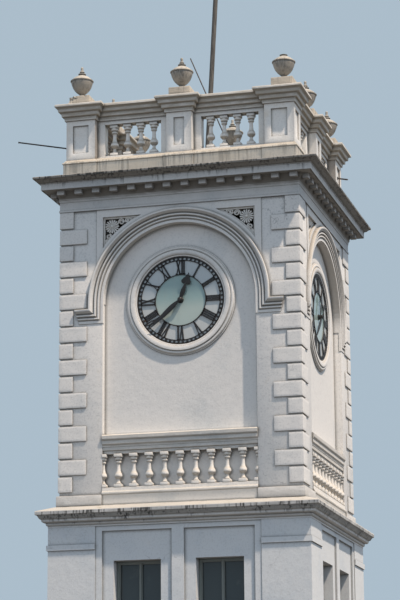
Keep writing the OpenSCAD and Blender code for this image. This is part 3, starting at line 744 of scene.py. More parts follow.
@dataclass(frozen=True)
class Finish:
    """A finish that is made into a material once."""

    name: str

    def material(self) -> bpy.types.Material:
        """The finish's material.

        Returns:
            The material, which is built at its first use.
        """
        found = bpy.data.materials.get(self.name)
        if found:
            return found
        made = bpy.data.materials.new(self.name)
        made.use_nodes = True
        self.paint(Graph(made.node_tree))
        return made

    def paint(self, g: Graph) -> None:
        """Builds the finish's nodes.

        Args:
            g: The finish's tree.
        """
        raise NotImplementedError


@dataclass(frozen=True)
class Grime:
    """A band of dirt between two heights."""

    low: float
    high: float
    share: float
    tone: Colour = (0.25, 0.235, 0.205)


@dataclass(frozen=True)
class Rain:
    """Soot that rain draws down from a height."""

    top: float
    length: float
    share: float
    scale: float


@dataclass(frozen=True)
class Stucco(Finish):
    """Lime wash on stucco, weathered where rain runs and dirt rests, with painted shade in crevices and on
    downward faces.
    """

    wash: Colour = (0.80, 0.79, 0.77)
    cool: Colour = (0.64, 0.665, 0.675)
    cream: Colour = (0.78, 0.69, 0.56)
    # Colour of downward faces: painted shade under overhangs, mixed with grime.
    soffit: Colour = (0.34, 0.315, 0.275)
    # Colour of upward faces: settled dirt, and on the urns a paler painted highlight.
    ledge: Colour = (0.44, 0.375, 0.29)
    cool_share: float = 0.55
    cream_share: float = 0.25
    underside_shade_and_grime_share: float = 0.7
    ledge_share: float = 0.9
    # Share and reach of the painted shade, with dirt, in corners and creases.
    crevice_shade_and_dirt_share: float = 0.75
    crevice_shade_and_dirt_reach: float = 0.07
    inside_share: float = 0.0
    cloud_scale: float = 0.8
    spots: float = 0.3
    grit: float = 0.4
    cracks: float = 0.5
    grime: Grime | None = None
    rain: Rain | None = None
    mottle_tone: Colour = (0.60, 0.60, 0.59)
    grit_tone: Colour = (0.43, 0.44, 0.44)
    edge_tone: Colour = (0.82, 0.77, 0.70)
    spot_tone: Colour = (0.14, 0.125, 0.10)
    # Dark of corners and creases: painted shade, with dirt.
    crevice_shade_and_dirt_tone: Colour = (0.085, 0.08, 0.07)
    pore_tone: Colour = (0.36, 0.35, 0.33)
    inside_tone: Colour = (0.13, 0.105, 0.085)
    crack_tone: Colour = (0.30, 0.30, 0.30)
    soot: Colour = (0.045, 0.044, 0.042)

    def paint(self, g: Graph) -> None:
        """Layers the wash, its stains, the dirt, the painted shade in crevices and on downward faces, and
        the rain marks.
        """
        cloudy = PATCHES.on(g, scale=self.cloud_scale, share=self.cool_share, softness=0.35)
        mottle = PATCHES.on(g, scale=6.5, share=0.45, softness=0.4)
        stains = PATCHES.on(g, scale=2.3, share=self.cream_share, softness=0.25)
        pores = PATCHES.on(g, scale=70.0, share=0.2, softness=0.12)
        flakes = PATCHES.on(g, scale=13.0, share=0.42, softness=0.07)
        spots = PATCHES.on(g, scale=17.0, share=0.20, softness=0.06)
        grit = PATCHES.on(g, scale=32.0, share=0.54, softness=0.19)
        grit = g.times(grit, g.plus(g.times(cloudy, 0.6), 0.4))
        # Painted shade: ambient occlusion darkens corners, creases and undercuts, with dirt.
        crevice = CREVICE.on(g, reach=self.crevice_shade_and_dirt_reach)
        dirt = g.times(crevice, g.plus(g.times(mottle, 0.4), 0.8))
        # Painted shade: downward faces turn towards the soffit colour, with grime under the overhangs.
        down = g.times(FACING.on(g, low=-0.05, high=-0.35), self.underside_shade_and_grime_share)
        up = g.times(FACING.on(g, low=0.12, high=0.5), self.ledge_share)
        layers = [
            (g.times(g.times(flakes, cloudy), 0.30), self.wash),
            (g.times(mottle, 0.30), self.mottle_tone),
            (g.times(grit, self.grit), self.grit_tone),
            (g.times(stains, 0.55), self.cream),
            (g.times(EDGES.on(g, radius=0.012), 0.4), self.edge_tone),
            # Painted shade and grime on downward faces.
            (down, self.soffit),
            # Upward faces: settled dirt, and a painted highlight where the ledge colour is paler than the
            # wash.
            (g.times(up, g.plus(mottle, 0.6), clamp=True), self.ledge),
        ]
        if self.grime:
            band = GRIME.on(g, low=self.grime.low, high=self.grime.high, scale=3.5)
            layers.append((g.times(band, self.grime.share), self.grime.tone))
        layers += [
            (g.times(g.times(spots, mottle), self.spots), self.spot_tone),
            # Painted shade and dirt in the crevices.
            (g.times(dirt, self.crevice_shade_and_dirt_share, clamp=True), self.crevice_shade_and_dirt_tone),
            (g.times(pores, 0.35), self.pore_tone),
        ]
        if self.inside_share:
            layers.append((g.times(INWARD.on(g, distance=1.6), self.inside_share), self.inside_tone))
        layers.append((g.times(CRACKS.on(g, scale=0.45, width=0.004), self.cracks), self.crack_tone))
        if self.rain:
            streaks = RAIN.on(g, top=self.rain.top, length=self.rain.length, scale=self.rain.scale)
            layers.append((g.times(streaks, self.rain.share), self.soot))
        colour = g.layered(g.blend(cloudy, self.wash, self.cool), layers)
        roughness = g.remap(mottle, 0.0, 1.0, 0.78, 0.92)
        surface("trowel marks", colour, g, GRAIN.on(g, scale=60.0), 0.006, roughness)


@dataclass(frozen=True)
class Iron(Finish):
    """Old black paint on iron with rust coming through."""

    paint_colour: Colour = (0.026, 0.025, 0.026)
    rust: Colour = (0.17, 0.075, 0.035)
    rust_share: float = 0.25

    def paint(self, g: Graph) -> None:
        """Lets rust through in patches and along the edges."""
        spots = PATCHES.on(g, scale=9.0, share=self.rust_share, softness=0.15)
        edges = g.times(EDGES.on(g, radius=0.004), 0.4)
        colour = g.blend(g.math("MAXIMUM", spots, edges), self.paint_colour, self.rust)
        scale = g.noise(g.position(), 55.0, 5.0)
        surface("scale", colour, g, scale, 0.002, g.remap(spots, 0.0, 1.0, 0.42, 0.85))


@dataclass(frozen=True)
class Opal(Finish):
    """Opal glass behind the dial, dusty in patches, and paler towards the bottom of each pane as painted
    light.
    """

    tint: Colour = (0.52, 0.57, 0.59)
    # Colour of the dust patches, which also serves as the painted light on the lower part.
    dust: Colour = (0.70, 0.68, 0.62)
    run_tone: Colour = (0.36, 0.38, 0.36)
    # Heights over which the painted light fades in, below the line of the cornice's shadow.
    painted_light_start: float = 11.06
    painted_light_full: float = 10.78
    painted_light_share: float = 0.35
    coat: Pair = (0.4, 0.1)

    def paint(self, g: Graph) -> None:
        """Clouds the glass with dust and runs, and paints light on its lower part."""
        dust = PATCHES.on(g, scale=2.6, share=0.4, softness=0.35)
        runs = g.remap(g.noise(g.position((1.0, 1.0, 0.12)), 11.0, 4.0, 0.6), 0.5, 0.75)
        # Painted light: the glass turns paler towards the bottom.
        low = g.times(g.remap(g.height(), self.painted_light_start, self.painted_light_full), self.painted_light_share)
        colour = g.blend(g.times(dust, 0.45), self.tint, self.dust)
        colour = g.layered(colour, [(low, self.dust), (g.times(runs, 0.25), self.run_tone)])
        ripple = g.noise(g.position(), 4.0, 2.0)
        roughness = g.remap(dust, 0.0, 1.0, 0.12, 0.35)
        surface("ripple", colour, g, ripple, 0.002, roughness, self.coat)


@dataclass(frozen=True)
class Timber(Finish):
    """Weathered or painted timber with its grain along Z."""

    light: Colour = (0.30, 0.265, 0.225)
    dark: Colour = (0.095, 0.080, 0.068)
    paint_colour: Colour = (0.16, 0.22, 0.20)
    paint_share: float = 0.0
    weather_tone: Colour = (0.20, 0.19, 0.18)
    check_tone: Colour = (0.03, 0.027, 0.025)

    def paint(self, g: Graph) -> None:
        """Draws the grain and checks, and lays what is left of the paint over them."""
        grain = g.noise(g.position((1.0, 1.0, 0.04)), 75.0, 6.0, 0.65)
        checks = g.remap(g.noise(g.position((1.0, 1.0, 0.03)), 28.0, 3.0), 0.60, 0.68)
        cloudy = PATCHES.on(g, scale=1.6, share=0.5, softness=0.4)
        layers = [(g.times(cloudy, 0.35), self.weather_tone), (g.times(checks, 0.8), self.check_tone)]
        if self.paint_share:
            bare = PATCHES.on(g, scale=5.0, share=0.16, softness=0.12)
            gone = g.math("MAXIMUM", bare, EDGES.on(g, radius=0.006))
            layers.append((g.math("SUBTRACT", self.paint_share, gone, clamp=True), self.paint_colour))
        colour = g.layered(g.blend(g.remap(grain, 0.3, 0.7), self.dark, self.light), layers)
        height = g.minus(g.times(grain, 0.6), checks)
        surface("grain", colour, g, height, 0.004, g.remap(grain, 0.0, 1.0, 0.6, 0.9))


@dataclass(frozen=True)
class Concrete(Finish):
    """Cement screed with puddle stains, of the floors and the roof."""

    pale: Colour = (0.42, 0.41, 0.38)
    dark: Colour = (0.16, 0.155, 0.14)
    bloom: Colour = (0.55, 0.54, 0.50)

    def paint(self, g: Graph) -> None:
        """Stains the screed in rings and patches."""
        wet = PATCHES.on(g, scale=1.3, share=0.5, softness=0.25)
        fine = g.noise(g.position(), 22.0, 6.0, 0.65)
        colour = g.blend(g.times(wet, 0.75), self.pale, self.dark)
        colour = g.blend(g.remap(fine, 0.45, 0.75, 0.0, 0.4), colour, self.bloom)
        surface("screed", colour, g, fine, 0.004, g.remap(wet, 0.0, 1.0, 0.9, 0.6))


@dataclass(frozen=True)
class WindowGlass(Finish):
    """Old window glass, coloured with the painted shade of the dark room behind it."""

    # Painted shade: the dark of the unlit room behind, laid into the glass's colour.
    room: Colour = (0.05, 0.065, 0.07)
    dust: Colour = (0.16, 0.17, 0.16)

    def paint(self, g: Graph) -> None:
        """Gives the glass the painted shade of the room, a little ripple and dust."""
        dust = PATCHES.on(g, scale=3.0, share=0.35, softness=0.4)
        ripple = g.noise(g.position(), 3.0, 2.0)
        colour = g.blend(dust, self.room, self.dust)
        surface("ripple", colour, g, ripple, 0.003, g.remap(dust, 0.0, 1.0, 0.05, 0.3))


QUOIN = Stucco(
    "stucco quoin", cool_share=0.5, cream_share=0.3, spots=0.6, grit=0.8, grime=Grime(7.10, 7.33, 0.35),
)
RECESS = Stucco("stucco recess", cool_share=0.5, cream_share=0.2, cracks=0.2, spots=0.2, grit=0.5)
MOULDED = Stucco(
    "stucco moulding", cool_share=0.4, cream_share=0.35, crevice_shade_and_dirt_share=0.7, cracks=0.0, grit=0.5,
)
LOWER = Stucco(
    "stucco lower stage", wash=(0.72, 0.745, 0.76), cool=(0.56, 0.62, 0.68), cool_share=0.6, grit=0.6,
)
PARAPET = Stucco(
    "stucco parapet", wash=(0.87, 0.86, 0.83), cool=(0.70, 0.73, 0.745), cool_share=0.5,
    cream_share=0.45, cracks=0.2, grime=Grime(14.69, 14.975, 0.7, (0.37, 0.335, 0.27)),
    underside_shade_and_grime_share=0.9, crevice_shade_and_dirt_share=0.9, spots=0.5, grit=0.6, inside_share=0.85,
)
BASE_COURSE = Stucco(
    "stucco parapet course", wash=(0.80, 0.74, 0.64), cool_share=0.2, cream_share=0.65, spots=1.0,
    grit=0.8, crevice_shade_and_dirt_share=0.9, rain=Rain(13.84, 0.5, 0.35, 20.0),
)
# Its paler ledge colour is a painted highlight on the lid, the rims and the block's top.
URN = Stucco(
    "stucco urn", wash=(0.42, 0.39, 0.34), cool=(0.13, 0.13, 0.12), ledge=(0.60, 0.54, 0.45),
    cool_share=0.75, grime=Grime(15.03, 15.195, 0.8, (0.62, 0.55, 0.45)), cream_share=0.15,
    ledge_share=1.0, cloud_scale=6.0, spots=0.5, grit=0.7, cracks=0.0,
    rain=Rain(15.60, 0.7, 0.45, 30.0),
)
# Its dark soffit colour and wide crevice reach paint shade under the corona, on the bed mould and round
# the dentils, with grime.
CROWN = Stucco(
    "stucco crown", wash=(0.68, 0.68, 0.67), cool=(0.52, 0.55, 0.57), soffit=(0.22, 0.205, 0.18),
    cool_share=0.6, cream_share=0.2, underside_shade_and_grime_share=0.95, ledge_share=0.5,
    grime=Grime(13.340, 13.60, 0.8, (0.20, 0.185, 0.16)), rain=Rain(13.47, 0.24, 0.95, 24.0),
    crevice_shade_and_dirt_reach=0.24, spots=1.0, grit=0.6, cracks=0.0,
)
LOWER_CROWN = Stucco(
    "stucco lower crown", cool_share=0.7, ledge=(0.39, 0.33, 0.245), ledge_share=0.95,
    grime=Grime(6.89, 7.02, 0.6, (0.22, 0.225, 0.22)), rain=Rain(7.02, 0.22, 0.92, 30.0), cracks=0.0,
)
RAIL = Stucco(
    "stucco rail", wash=(0.84, 0.81, 0.76), ledge=(0.60, 0.53, 0.43), cool=(0.58, 0.61, 0.62),
    crevice_shade_and_dirt_share=1.0, crevice_shade_and_dirt_reach=0.05, grime=Grime(8.10, 8.45, 0.30), spots=0.9, grit=0.6, cracks=0.0,
)
GRILLE = Stucco(
    "stucco grille", wash=(0.80, 0.78, 0.74), cool_share=0.3, cream_share=0.3, crevice_shade_and_dirt_share=0.25,
    crevice_shade_and_dirt_reach=0.04, underside_shade_and_grime_share=0.3, ledge_share=0.3, cracks=0.0,
)
DIAL_IRON = Iron("dial iron")
HAND_PAINT = Iron("hand paint", paint_colour=(0.018, 0.017, 0.018), rust_share=0.12)
ROD_IRON = Iron("rod iron", rust_share=0.45)
OPAL_RING = Opal("opal numeral ring")
OPAL_CENTRE = Opal("opal centre", tint=(0.31, 0.44, 0.435), dust=(0.54, 0.61, 0.56), painted_light_share=0.65)
POLE_TIMBER = Timber("pole timber", light=(0.18, 0.168, 0.15), dark=(0.055, 0.05, 0.045))
DOOR_PAINT = Timber("door paint", paint_share=0.95)
WINDOW_PAINT = Timber("window paint", paint_colour=(0.22, 0.25, 0.24), paint_share=0.9)
SCREED = Concrete("cement screed")
PANE = WindowGlass("window pane")


def dress(piece: Piece, finish: Finish, nodes: Sequence[str], body: str = TOWER) -> Piece:
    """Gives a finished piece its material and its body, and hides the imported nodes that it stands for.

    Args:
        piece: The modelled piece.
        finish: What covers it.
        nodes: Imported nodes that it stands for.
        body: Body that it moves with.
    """
    piece.data.materials.clear()
    piece.data.materials.append(finish.material())
    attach(piece, body)
    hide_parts(*nodes)
    log.info("%s: %d faces, %s", piece.name, len(piece.data.polygons), finish.name)
    return piece


def all_sides(stem: str) -> list[str]:
    """The names of a stem's nodes on the four sides."""
    return [side.named(stem) for side in Side]


# Sub-assemblies

@dataclass
class Shell:
    """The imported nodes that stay: plain walls, floors, panes and the roof."""

    finishes: tuple[tuple[Finish, tuple[str, ...]], ...] = (
        (LOWER, (*all_sides("base_wall"), "base_pilasters")),
        (RECESS, ("clock_walls",)),
        (SCREED, ("ground_floor", "first_floor", "clock_room_floor", "roof_slab")),
        (PANE, ("window_panes",)),
    )

    def make(self) -> None:
        """Covers each node with its finish."""
        for finish, names in self.finishes:
            for name in names:
                node = frame["nodes"][name]
                if not node.material_slots:
                    node.data.materials.append(None)
                for place in node.material_slots:
                    place.material = finish.material()
                log.info("%s: %s", name, finish.name)


@dataclass
class Cornices:
    """The lower cornice and the main cornice with its dentils."""

    pilaster_face: float = 2.487
    lower_z: float = 6.740
    lower_tip: float = 2.686
    lower_inner: float = 1.872
    main_tip: float = 2.772
    main_tip_z: float = 13.450
    corona: float = 2.640
    soffit_z: float = 13.214
    main_inner: float = 1.720
    dentil_count: int = 14
    dentil_pitch: float = 0.351
    dentil_w: float = 0.143
    dentil_h: float = 0.092
    dentil_foot: float = 0.070
    dentil_back: float = 0.105
    cell: float = 3.0
    cuts: int = 44

    def lower_profile(self) -> Profile:
        """Outline of the lower cornice, from its bed up to its weathering.

        Returns:
            Points (distance from the tower's axis, height).
        """
        face, z, tip = self.pilaster_face, self.lower_z, self.lower_tip
        return [
            (self.lower_inner, z), *shifted(face, z, (0.005, 0.0), (0.005, 0.030)),
            *bow((face + 0.025, z + 0.038), (face + 0.030, z + 0.088), 0.12, 3),
            *shifted(tip, z, (-0.125, 0.092), (-0.101, 0.110), (-0.095, 0.150)),
            *ogee((tip - 0.080, z + 0.156), (tip - 0.022, z + 0.222)),
            *shifted(tip, z, (-0.010, 0.226), (-0.002, 0.232), (0.0, 0.290), (-0.010, 0.302)),
            (PLINTH_FACE, FLOOR_Z), (self.lower_inner, FLOOR_Z),
        ]

    def main_profile(self) -> Profile:
        """Outline of the main cornice: string, frieze, bed mould, corona and crown.

        Returns:
            Points (distance from the tower's axis, height).
        """
        face, corona, soffit, tip = QUOIN_FACE, self.corona, self.soffit_z, self.main_tip
        return [
            (self.main_inner, STAGE_TOP),
            *shifted(
                face, STAGE_TOP, (0.012, 0.0), (0.012, 0.035), (0.002, 0.042), (0.0, 0.050), (0.0, 0.190),
            ),
            *bow((face + 0.007, STAGE_TOP + 0.194), (face + 0.090, soffit - 0.006), -0.10, 6),
            (face + 0.092, soffit),
            *shifted(
                corona, soffit, (-0.036, 0.0), (-0.036, 0.012), (-0.018, 0.012), (-0.014, 0.0), (0.0, 0.0),
                (0.0, 0.112), (0.008, 0.118), (0.010, 0.130),
            ),
            *ogee((corona + 0.022, soffit + 0.136), (tip - 0.020, soffit + 0.198)),
            (tip - 0.006, soffit + 0.200),
            *shifted(tip, self.main_tip_z, (0.0, -0.008), (-0.010, 0.004)),
            (PARAPET_FACE - 0.020, PARAPET_FOOT), (self.main_inner, PARAPET_FOOT),
        ]

    def dentils(self) -> Piece:
        """The dentils of all four sides."""
        back, front = QUOIN_FACE + self.dentil_foot, self.corona - self.dentil_back
        first = (1 - self.dentil_count) / 2 * self.dentil_pitch
        low = (first - self.dentil_w / 2, -front, self.soffit_z - self.dentil_h)
        high = (first + self.dentil_w / 2, -back, self.soffit_z + 0.010)
        dentil = worn(block("dentils", low, high), edge=0.007)
        return on_all_sides(in_a_row(dentil, self.dentil_count, self.dentil_pitch))

    def ring(self, name: str, profile: Profile) -> Piece:
        """A cornice all round the tower, fine enough to be worn."""
        whole = turned(name, profile, (0.0, 0.0, 0.0), Spindle.SQUARE, closed=True)
        return refined(whole, self.cell, self.cuts)

    def make(self) -> None:
        """Models both cornices and dresses them."""
        lower = worn(self.ring("lower_cornice", self.lower_profile()), depth=0.012, grain=0.13)
        dress(lower, LOWER_CROWN, all_sides("lower_cornice"))
        ring = worn(self.ring("ring", self.main_profile()), depth=0.011, grain=0.15)
        cornice = joined("main_cornice", [self.dentils(), ring])
        dress(cornice, CROWN, all_sides("main_cornice"))


@dataclass
class Piers:
    """The four corner piers with their plinths and their long and short quoins."""

    plinth_h: float = 0.200
    count: int = 17
    pitch: float = 0.3176
    start: float = 0.268
    gap: float = 0.030
    long: float = 0.545
    short: float = 0.277
    play: float = 0.0015
    seed: int = 11

    def quoin(self, name: str, along_x: float, along_y: float, height: float) -> Piece:
        """A worn quoin of the front right corner at the height of the clock room floor."""
        face = QUOIN_FACE
        piece = block(name, (face - along_x, -face, FLOOR_Z), (face, along_y - face, FLOOR_Z + height))
        return worn(divided(piece, 5), edge=0.006, angle=50.0)

    def make(self) -> None:
        """Models one corner's parts, repeats them on all corners and dresses them."""
        rng = random.Random(self.seed)
        inner = RECESS_HALF
        core = block("core", (inner, -STAGE_HALF, FLOOR_Z), (STAGE_HALF, -inner, STAGE_TOP), 0.004)
        plinth_high = (PLINTH_FACE, -inner, FLOOR_Z + self.plinth_h)
        plinth = refined(block("plinth", (inner, -PLINTH_FACE, FLOOR_Z), plinth_high), 0.5, 9)
        worn(plinth, edge=0.010, depth=0.008)
        parts = [on_all_sides(core), on_all_sides(plinth)]
        sizes = ((self.long, self.short), (self.short, self.long))
        last = STAGE_TOP - FLOOR_Z - self.start - (self.count - 1) * self.pitch
        models = [self.quoin("quoin", *size, self.pitch - self.gap) for size in sizes]
        models += [self.quoin("top_quoin", *size, last) for size in sizes]
        for side in Side:
            for i in range(self.count):
                model = models[(i + side.value + 1) % 2 + (2 if i == self.count - 1 else 0)]
                jitter = [rng.uniform(-self.play, self.play) for _ in range(2)]
                quoin = copied(model, "quoin", (*jitter, self.start + i * self.pitch))
                parts.append(placed(quoin, turn=side.turn))
        for model in models:
            bpy.data.objects.remove(model)
        piers = worn(joined("corner_quoins", parts), depth=0.008, grain=0.10)
        dress(piers, QUOIN, ["corner_piers"])


@dataclass
class ArchHeads:
    """The arched heads over the recesses, with their archivolts, labels and raised fields."""

    arch_r: float = 1.480
    band: float = 0.277
    label_z: float = 10.600
    reach: float = 2.030
    side_reach: float = 1.772
    end_slope: float = 0.27
    field: float = 0.012
    field_half: float = 1.612
    steps: int = 96
    bands: tuple[Pair, ...] = (
        (0.000, -0.040), (0.000, 0.006), (0.006, 0.012), (0.054, 0.012), (0.060, 0.002), (0.068, 0.002),
        (0.072, 0.022), (0.084, 0.033), (0.104, 0.033), (0.116, 0.022), (0.120, 0.008), (0.128, 0.008),
        (0.132, 0.034), (0.146, 0.048), (0.166, 0.048), (0.180, 0.036), (0.184, 0.020), (0.194, 0.020),
        (0.198, 0.050), (0.214, 0.060), (0.232, 0.078), (0.240, 0.084), (0.270, 0.084), (0.277, 0.078),
        (0.277, -0.040),
    )

    def head(self) -> Piece:
        """The plate over the arch with its raised field and the two spandrel openings."""
        half, top, wide = RECESS_HALF, STAGE_TOP, self.field_half
        plate = block("plate", (-half, -STAGE_HALF, DIAL_Z), (half, -RECESS_FACE, top))
        foot = DIAL_Z + math.sqrt((self.arch_r + self.band) ** 2 - wide**2)
        field = block("field", (-wide, -STAGE_HALF - self.field, foot), (wide, -STAGE_HALF + 0.02, top))
        carved(field, dial_disc("under", self.arch_r + self.band - 0.02, 1.0, 3.0, self.steps))
        carved(plate, field, "UNION")
        for edge in (-1, 1):
            low = (0.0 if edge > 0 else -half, -3.0, DIAL_Z)
            corner = block("spandrel", low, (half if edge > 0 else 0.0, -1.0, SPANDREL_TOP))
            carved(plate, carved(corner, dial_disc("disc", SPANDREL_R, 0.5, 3.5, 128)))
        return carved(plate, dial_disc("arch", self.arch_r, 1.0, 3.0, self.steps))

    def archivolt(self, reach: float) -> Piece:
        """The moulding from one label over the arch to the other.

        Args:
            reach: Distance of a label's end from the middle.
        """
        r, foot, outer = self.arch_r, self.label_z, self.arch_r + self.band
        section = [(along, STAGE_HALF + out) for along, out in self.bands]
        over = [(r + along, out) for along, out in section]
        arch = turned("arch", over, DIAL_CENTRE, Spindle.DIAL, self.steps, math.pi, closed=True)
        leg = prism("leg", [(r + a, -out, foot) for a, out in section], (0, 0, DIAL_Z - foot))
        sliced(leg, (r, 0, foot), (1, 0, -1))
        label = prism("label", [(r, -out, foot + a) for a, out in section], (reach - r, 0, 0))
        sliced(label, (r, 0, foot), (-1, 0, 1))
        fall = -self.end_slope * (reach - outer) / self.band
        sliced(label, (reach, 0, foot + self.band), (1, 0, fall))
        return joined("archivolt", [arch, mirrored(joined("wings", [leg, label]))])

    def make(self) -> None:
        """Models the head of each side and dresses it."""
        for side in Side:
            reach = self.reach if side in (Side.FRONT, Side.BACK) else self.side_reach
            whole = joined(side.named("arch_moulding"), [self.head(), self.archivolt(reach)])
            placed(worn(whole, angle=40.0), turn=side.turn)
            dress(whole, MOULDED, [side.named("arch_head")])


@dataclass(frozen=True)
class Baluster:
    """A turned baluster between a square plinth and a square cap.

    The outline holds shares of the belly's radius and of the height between the two blocks.
    """

    height: float
    belly: float
    width: float = 0.150
    cap_share: float = 0.10
    outline: tuple[Pair, ...] = (
        (0, 0), (0.80, 0), (0.82, 0.014), (0.80, 0.03), (0.62, 0.042), (0.50, 0.08), (0.39, 0.12),
        (0.36, 0.15), (0.40, 0.185), (0.58, 0.212), (0.80, 0.24), (0.97, 0.285), (1.0, 0.31),
        (0.985, 0.335), (0.90, 0.385), (0.75, 0.42), (0.60, 0.46), (0.51, 0.52), (0.465, 0.58),
        (0.44, 0.66), (0.445, 0.72), (0.50, 0.765), (0.54, 0.78), (0.70, 0.79), (0.74, 0.82),
        (0.70, 0.848), (0.60, 0.852), (0.60, 0.868), (0.74, 0.888), (0.86, 0.91), (0.86, 1), (0, 1),
    )

    def make(self, foot: Point) -> Piece:
        """Models the baluster.

        Args:
            foot: Middle of its underside.
        """
        x, y, z = foot
        half, cap = self.width / 2, self.cap_share * self.height
        shaft = self.height - 2 * cap
        points = [(r * self.belly, cap + t * shaft) for r, t in self.outline]
        parts = [turned("shaft", points, foot, steps=18)]
        for low in (z, z + (self.height - cap)):
            parts.append(block("cap", (x - half, y - half, low), (x + half, y + half, low + cap), 0.006))
        return joined("row", parts)


@dataclass
class RecessBalustrades:
    """The blind balustrade at the foot of each recess: base, balusters and rail."""

    base_top: float = 7.470
    rail_z: float = 8.100
    rail_top: float = 8.460
    line: float = 2.260
    pitch: float = 0.298
    count: int = 11
    baluster: Baluster = Baluster(0.630, 0.074)

    def base(self) -> Profile:
        """Outline of the base.

        Returns:
            Points (distance from the tower's axis, height).
        """
        top = self.base_top
        steps = (
            (2.345, 0.0), (2.345, 0.190), (2.351, 0.198), (2.360, 0.205), (2.364, 0.225), (2.360, 0.245),
            (2.348, 0.252), (2.338, 0.264), (2.335, 0.275),
        )
        return [
            (RECESS_FACE, FLOOR_Z), *shifted(0.0, FLOOR_Z, *steps),
            (2.335, top - 0.006), (2.329, top), (RECESS_FACE, top),
        ]

    def rail(self) -> Profile:
        """Outline of the rail with its three bands.

        Returns:
            Points (distance from the tower's axis, height).
        """
        z, top = self.rail_z, self.rail_top
        steps = ((2.295, 0.0), (2.295, 0.056), (2.306, 0.060), (2.315, 0.070), (2.315, 0.128))
        return [
            (RECESS_FACE, z), *shifted(0.0, z, *steps),
            *bow((2.322, z + 0.132), (2.345, z + 0.186), -0.16, 4), (2.345, z + 0.250),
            *bow((2.352, z + 0.256), (2.370, z + 0.290), 0.15, 4), (2.372, z + 0.338),
            (2.364, z + 0.346), (2.345, top), (RECESS_FACE, top),
        ]

    def run(self, name: str, outline: Profile) -> Piece:
        """A straight moulding from one pier to the other."""
        points = [(-RECESS_HALF, -out, z) for out, z in outline]
        return refined(prism(name, points, (2 * RECESS_HALF, 0, 0)), 2.0, 24)

    def make(self) -> None:
        """Models one side, repeats it and dresses it."""
        first = self.baluster.make((-RECESS_HALF, -self.line, self.base_top))
        row = in_a_row(first, self.count, self.pitch)
        for way in (-1, 1):
            sliced(row, (way * RECESS_HALF, 0, 0), (way, 0, 0))
        runs = [self.run("base", self.base()), self.run("rail", self.rail())]
        whole = on_all_sides(joined("recess_balustrades", [*runs, row]))
        dress(worn(whole, depth=0.005, grain=0.09, angle=40.0), RAIL, ["blind_balustrades"])


@dataclass
class Grilles:
    """The pierced plates in the spandrels: a frame, a daisy and scrolls."""

    bar: float = 0.032
    back: float = 2.262
    depth: float = 0.028
    daisy: float = 0.136
    daisy_place: Pair = (1.25, 1.31)
    petals: int = 16
    petal_half: tuple[Pair, ...] = (
        (0.026, 0.0045), (0.050, 0.007), (0.080, 0.011), (0.106, 0.0145), (0.124, 0.0150), (0.133, 0.009),
    )
    dome: tuple[Pair, ...] = (
        (0, 0), (0.029, 0), (0.031, 0.026), (0.024, 0.036), (0.012, 0.041), (0, 0.042),
    )
    scrolls: tuple[tuple[float, float, float, int], ...] = (
        (-1.36, 0.60, 0.46, 1), (-2.15, 0.82, 0.32, -1), (-2.72, 1.01, 0.22, 1),
        (0.46, -1.43, 0.41, 1), (0.72, -2.15, 0.28, -1), (0.94, -2.66, 0.19, 1),
    )
    scroll_turns: float = 1.6
    scroll_steps: int = 24
    scroll_shrink: float = 0.74

    def corner(self, inset: float, face: float) -> list[Point]:
        """Outline of the spandrel, drawn in by an inset, on the plane of a face.

        Args:
            inset: How far it is drawn in.
            face: Distance of the plane from the tower's axis.

        Returns:
            Its corners.
        """
        radius, top, side = SPANDREL_R + inset, SPANDREL_TOP - inset - DIAL_Z, RECESS_HALF - inset
        first, last = math.acos(side / radius), math.asin(top / radius)
        arc = [first + (last - first) * i / 20 for i in range(21)]
        points = [(radius * math.cos(a), -face, DIAL_Z + radius * math.sin(a)) for a in arc]
        return [*points, (side, -face, DIAL_Z + top)]

    def frame(self) -> Piece:
        """The frame that follows the spandrel's edges."""
        outer = prism("frame", self.corner(0.0, self.back), (0, -self.depth, 0))
        return carved(outer, prism("inner", self.corner(self.bar, self.back - 0.1), (0, -0.3, 0)))

    def flower(self, centre: Point) -> Piece:
        """The daisy: petals about a domed hub.

        Args:
            centre: Its middle, on the back of the plate.
        """
        x, y, z = centre
        points = [(x + r, y, z + w) for r, w in self.petal_half]
        points += [(x + self.daisy, y, z)] + [(a, b, 2 * z - c) for a, b, c in reversed(points)]
        petal = prism("petal", points, (0, -self.depth * 0.7, 0))
        with editing(petal, "EDGE"):
            bpy.ops.mesh.bevel(offset=0.002, segments=2, affect="EDGES")
        repeated(petal, self.petals, math.tau / self.petals, centre, (0, 1, 0))
        dome = [(r, self.back + out) for r, out in self.dome]
        return joined("daisy", [petal, turned("hub", dome, (x, 0, z), Spindle.DIAL, 20)])

    def scroll(self, centre: Point, place: Pair, size: float, way: int) -> Piece:
        """A scroll that winds in from its outer end to a small eye.

        Args:
            centre: Middle of the daisy.
            place: Place of the eye from there, in daisies.
            size: Radius of the scroll, in daisies.
            way: 1 or -1, the way it winds.
        """
        x, z = centre[0] + place[0] * self.daisy, centre[2] + place[1] * self.daisy
        start = math.atan2(centre[2] - z, centre[0] - x)
        points = []
        for i in range(self.scroll_steps + 1):
            angle = start + way * i / self.scroll_steps * self.scroll_turns * math.tau
            r = size * self.daisy * (1 - self.scroll_shrink * i / self.scroll_steps)
            points.append((x + r * math.cos(angle), -self.back - self.depth / 2, z + r * math.sin(angle)))
        return tube("scroll", points, self.bar * 0.42)

    def make(self) -> None:
        """Models one plate, mirrors it, repeats it and dresses it."""
        across, down = self.daisy_place
        centre = (RECESS_HALF - across * self.daisy, -self.back, SPANDREL_TOP - down * self.daisy)
        parts = [self.frame(), self.flower(centre)]
        for x, z, size, way in self.scrolls:
            parts.append(self.scroll(centre, (x, z), size, way))
        grilles = on_all_sides(mirrored(joined("daisy_grilles", parts)))
        dress(worn(closed_up(grilles)), GRILLE, ["spandrel_grilles"])


def dial_point(x: float, y: float, angle: float, face: float) -> Point:
    """A point on the front dial."""
    turn = math.radians(angle)
    rise = y * math.cos(turn)
    return (x * math.cos(turn) + y * math.sin(turn), -face, DIAL_Z + rise - x * math.sin(turn))


